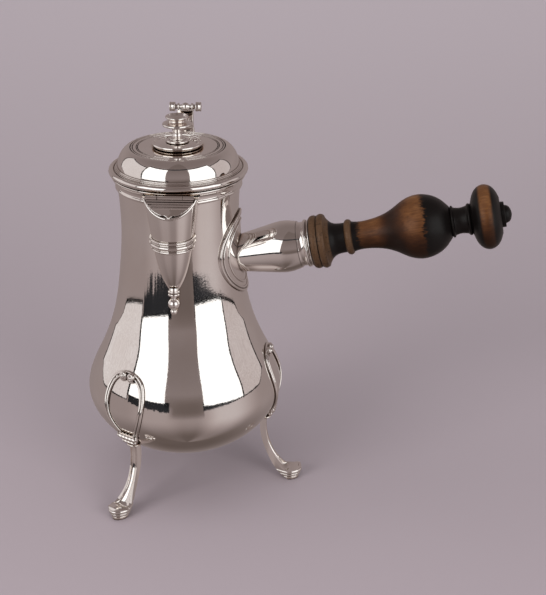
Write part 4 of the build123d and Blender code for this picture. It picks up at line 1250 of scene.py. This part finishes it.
# the volutes: the frame's two ends coil into bosses at its head
for side in (-1, 1):
    middle = on_pear(side * 2.95, 88.9, 0.3)
    out = Vector((middle.x, middle.y, 9.0)).normalized()
    level = Vector((0, 0, 1)).cross(out).normalized()
    steep = out.cross(level)
    coil = []
    for step in range(41):
        swing = radians(80 + side * step * 15)
        reach = 0.85 + 1.55 * step / 40
        coil.append(
            middle
            + level * (reach * cos(swing))
            + steep * (reach * sin(swing))
            + out * (2.6 - 1.5 * step / 40)
        )
    drawn(
        leg,
        round_section(0.8, 10),
        stations_on(coil, lambda point: out, sizes=[0.75 + 0.5 * step / 40 for step in range(41)]),
    )
    for radius, lift in ((1.2, 2.3), (2.4, 0.6)):
        bmesh.ops.create_uvsphere(
            leg,
            u_segments=20,
            v_segments=12,
            radius=radius,
            matrix=Matrix.Translation(middle + out * lift),
        )

# the roped crossbar: two twisted rolls, the upper one longer
for height, reach, half_length, thick, lobes in (
    (50.2, 54.9, 7.5, 1.95, 6),
    (46.7, 53.4, 5.2, 1.65, 6),
):
    strand = []
    for step in range(41):
        share = step / 20 - 1
        swell = thick * (0.5 + 0.5 * sqrt(max(0.0, 1 - share**4)))
        place_here = Matrix.Translation((reach, share * half_length, height))
        strand.append(
            place_here
            @ Matrix.Rotation(-pi / 2, 4, "X")
            @ Matrix.Rotation(share * half_length * 0.42, 4, "Z")
            @ Matrix.Scale(swell, 4)
        )
    lobed = []
    for step in range(36):
        swing = 2 * pi * step / 36
        bulge = 1 + 0.12 * cos(lobes * 2 * pi * step / 36)
        lobed.append((bulge * cos(swing), bulge * sin(swing)))
    drawn(leg, lobed, strand)

# the cushion under the crossbar
bmesh.ops.create_uvsphere(
    leg,
    u_segments=28,
    v_segments=14,
    radius=1.0,
    matrix=Matrix.Translation((50.2, 0, 43.2)) @ Matrix.Diagonal((3.6, 4.2, 1.35, 1)),
)
ornament = leg

# the shank and toe: a side view and a plan, one cut by the other, then fluted
LEG_BACK = fair_line(
    [(64.6, 0), (56.7, 7.15), (51.2, 17.5), (46.8, 36.0), (48.0, 50.0)], steps=10
)


def shank_front():
    """The shank's outer line, thinner at its waist."""
    front = []
    for number, point in enumerate(LEG_BACK):
        ahead = way_along(LEG_BACK, number)
        waist = 0.9 * sin(pi * min(1.0, max(0.0, (point.y - 7.0) / 38.0)))
        front.append(point + Vector((ahead.y, -ahead.x)) * (SHANK_THICKNESS - waist))
    return [front[step] for step in (6, 12, 20, 30, 40)]


def shank_side():
    """The leg seen from the side, as a slab wider than the toe."""
    outline = LEG_BACK + list(reversed(fair_line([(71.6, 9.0)] + shank_front(), steps=10)))
    outline += fair_line([(71.8, 8.6), (73.4, 4.4), (71.4, 0)], steps=4)
    return slab([(point.x, -9, point.y) for point in outline], (0, 18, 0))


def plan_line(inset):
    """The leg seen from above, half of it: a narrow shank that spreads to a round toe."""
    return [Vector((40.0, 3.7 - inset))] + fair_line(
        [(46.5, 3.1 - inset), (52.0, 2.7 - inset), (57.5, 4.1 - inset)]
        + [(65.0, 6.9 - inset), (72.8 - inset, 0)],
        start=(1, 0),
        end=(0, -1),
        steps=14,
    )


def plan_column(levels):
    """The leg's plan drawn up through (height, inset) levels."""
    column = bmesh.new()
    rings = []
    for height, inset in levels:
        half = plan_line(inset)
        points = half + [Vector((point.x, -point.y)) for point in reversed(half[:-1])]
        corners = [column.verts.new((point.x, point.y, height)) for point in points]
        rings.append([column.edges.new(pair) for pair in zip(corners, corners[1:] + corners[:1])])
    for low, high in zip(rings, rings[1:]):
        bmesh.ops.bridge_loops(column, edges=low + high)
    bmesh.ops.contextual_create(column, geom=rings[0])
    bmesh.ops.contextual_create(column, geom=rings[-1])
    bmesh.ops.recalc_face_normals(column, faces=column.faces)
    return column


reeded = []
for low, high, drawn_in in ((-0.2, 2.5, 2.3), (2.5, 4.7, 1.3), (4.7, 7.0, 0.35)):
    for step in range(9):
        share = step / 8
        height = low + (high - low) * (0.02 + 0.96 * share)
        round_off = 0.5 * (1 - sqrt(max(0.0, 1 - (2 * share - 1) ** 2)))
        reeded.append((height, drawn_in - 0.35 * share + round_off))
reeded += [(7.3, 0.5), (8.2, 0.15), (60.0, 0.0)]
shank = trimmed(shank_side(), plan_column(reeded), "INTERSECT")

# the flute is a round-bottomed trough that widens over the toe
front_line = fair_line([(71.2, 9.6), (68.6, 10.2)] + shank_front(), steps=8)
flute_path = []
for number, point in enumerate(front_line):
    ahead = way_along(front_line, number)
    spread = min(1.0, max(0.0, (point.x - 55.0) / 11.0))
    half_width = 2.05 + 3.5 * spread * spread * (3 - 2 * spread)
    half_width *= min(1.0, 0.35 + (71.6 - point.x) / 3.0)
    out = Vector((ahead.y, 0, -ahead.x))
    flute_path.append(
        Matrix.Translation((point.x, 0, point.y))
        @ Matrix(
            (Vector((0, half_width, 0)), out * 1.5, Vector((ahead.x, 0, ahead.y)))
        ).transposed().to_4x4()
    )
flute = drawn(bmesh.new(), round_section(1.0, 24), flute_path)
shank = trimmed(shank, flute)
bmesh.ops.remove_doubles(shank, verts=shank.verts, dist=0.001)

joined = bpy.data.meshes.new("leg")
ornament.to_mesh(joined)
ornament.free()
shank.from_mesh(joined)

for node, azimuth in LEG_PLACES:
    cast = shank.copy()
    bmesh.ops.rotate(
        cast, verts=cast.verts, cent=(0, 0, 0), matrix=Matrix.Rotation(radians(azimuth), 3, "Z")
    )
    settle(cast, node.replace("leg", "cast_leg"), silver, "pot", node)
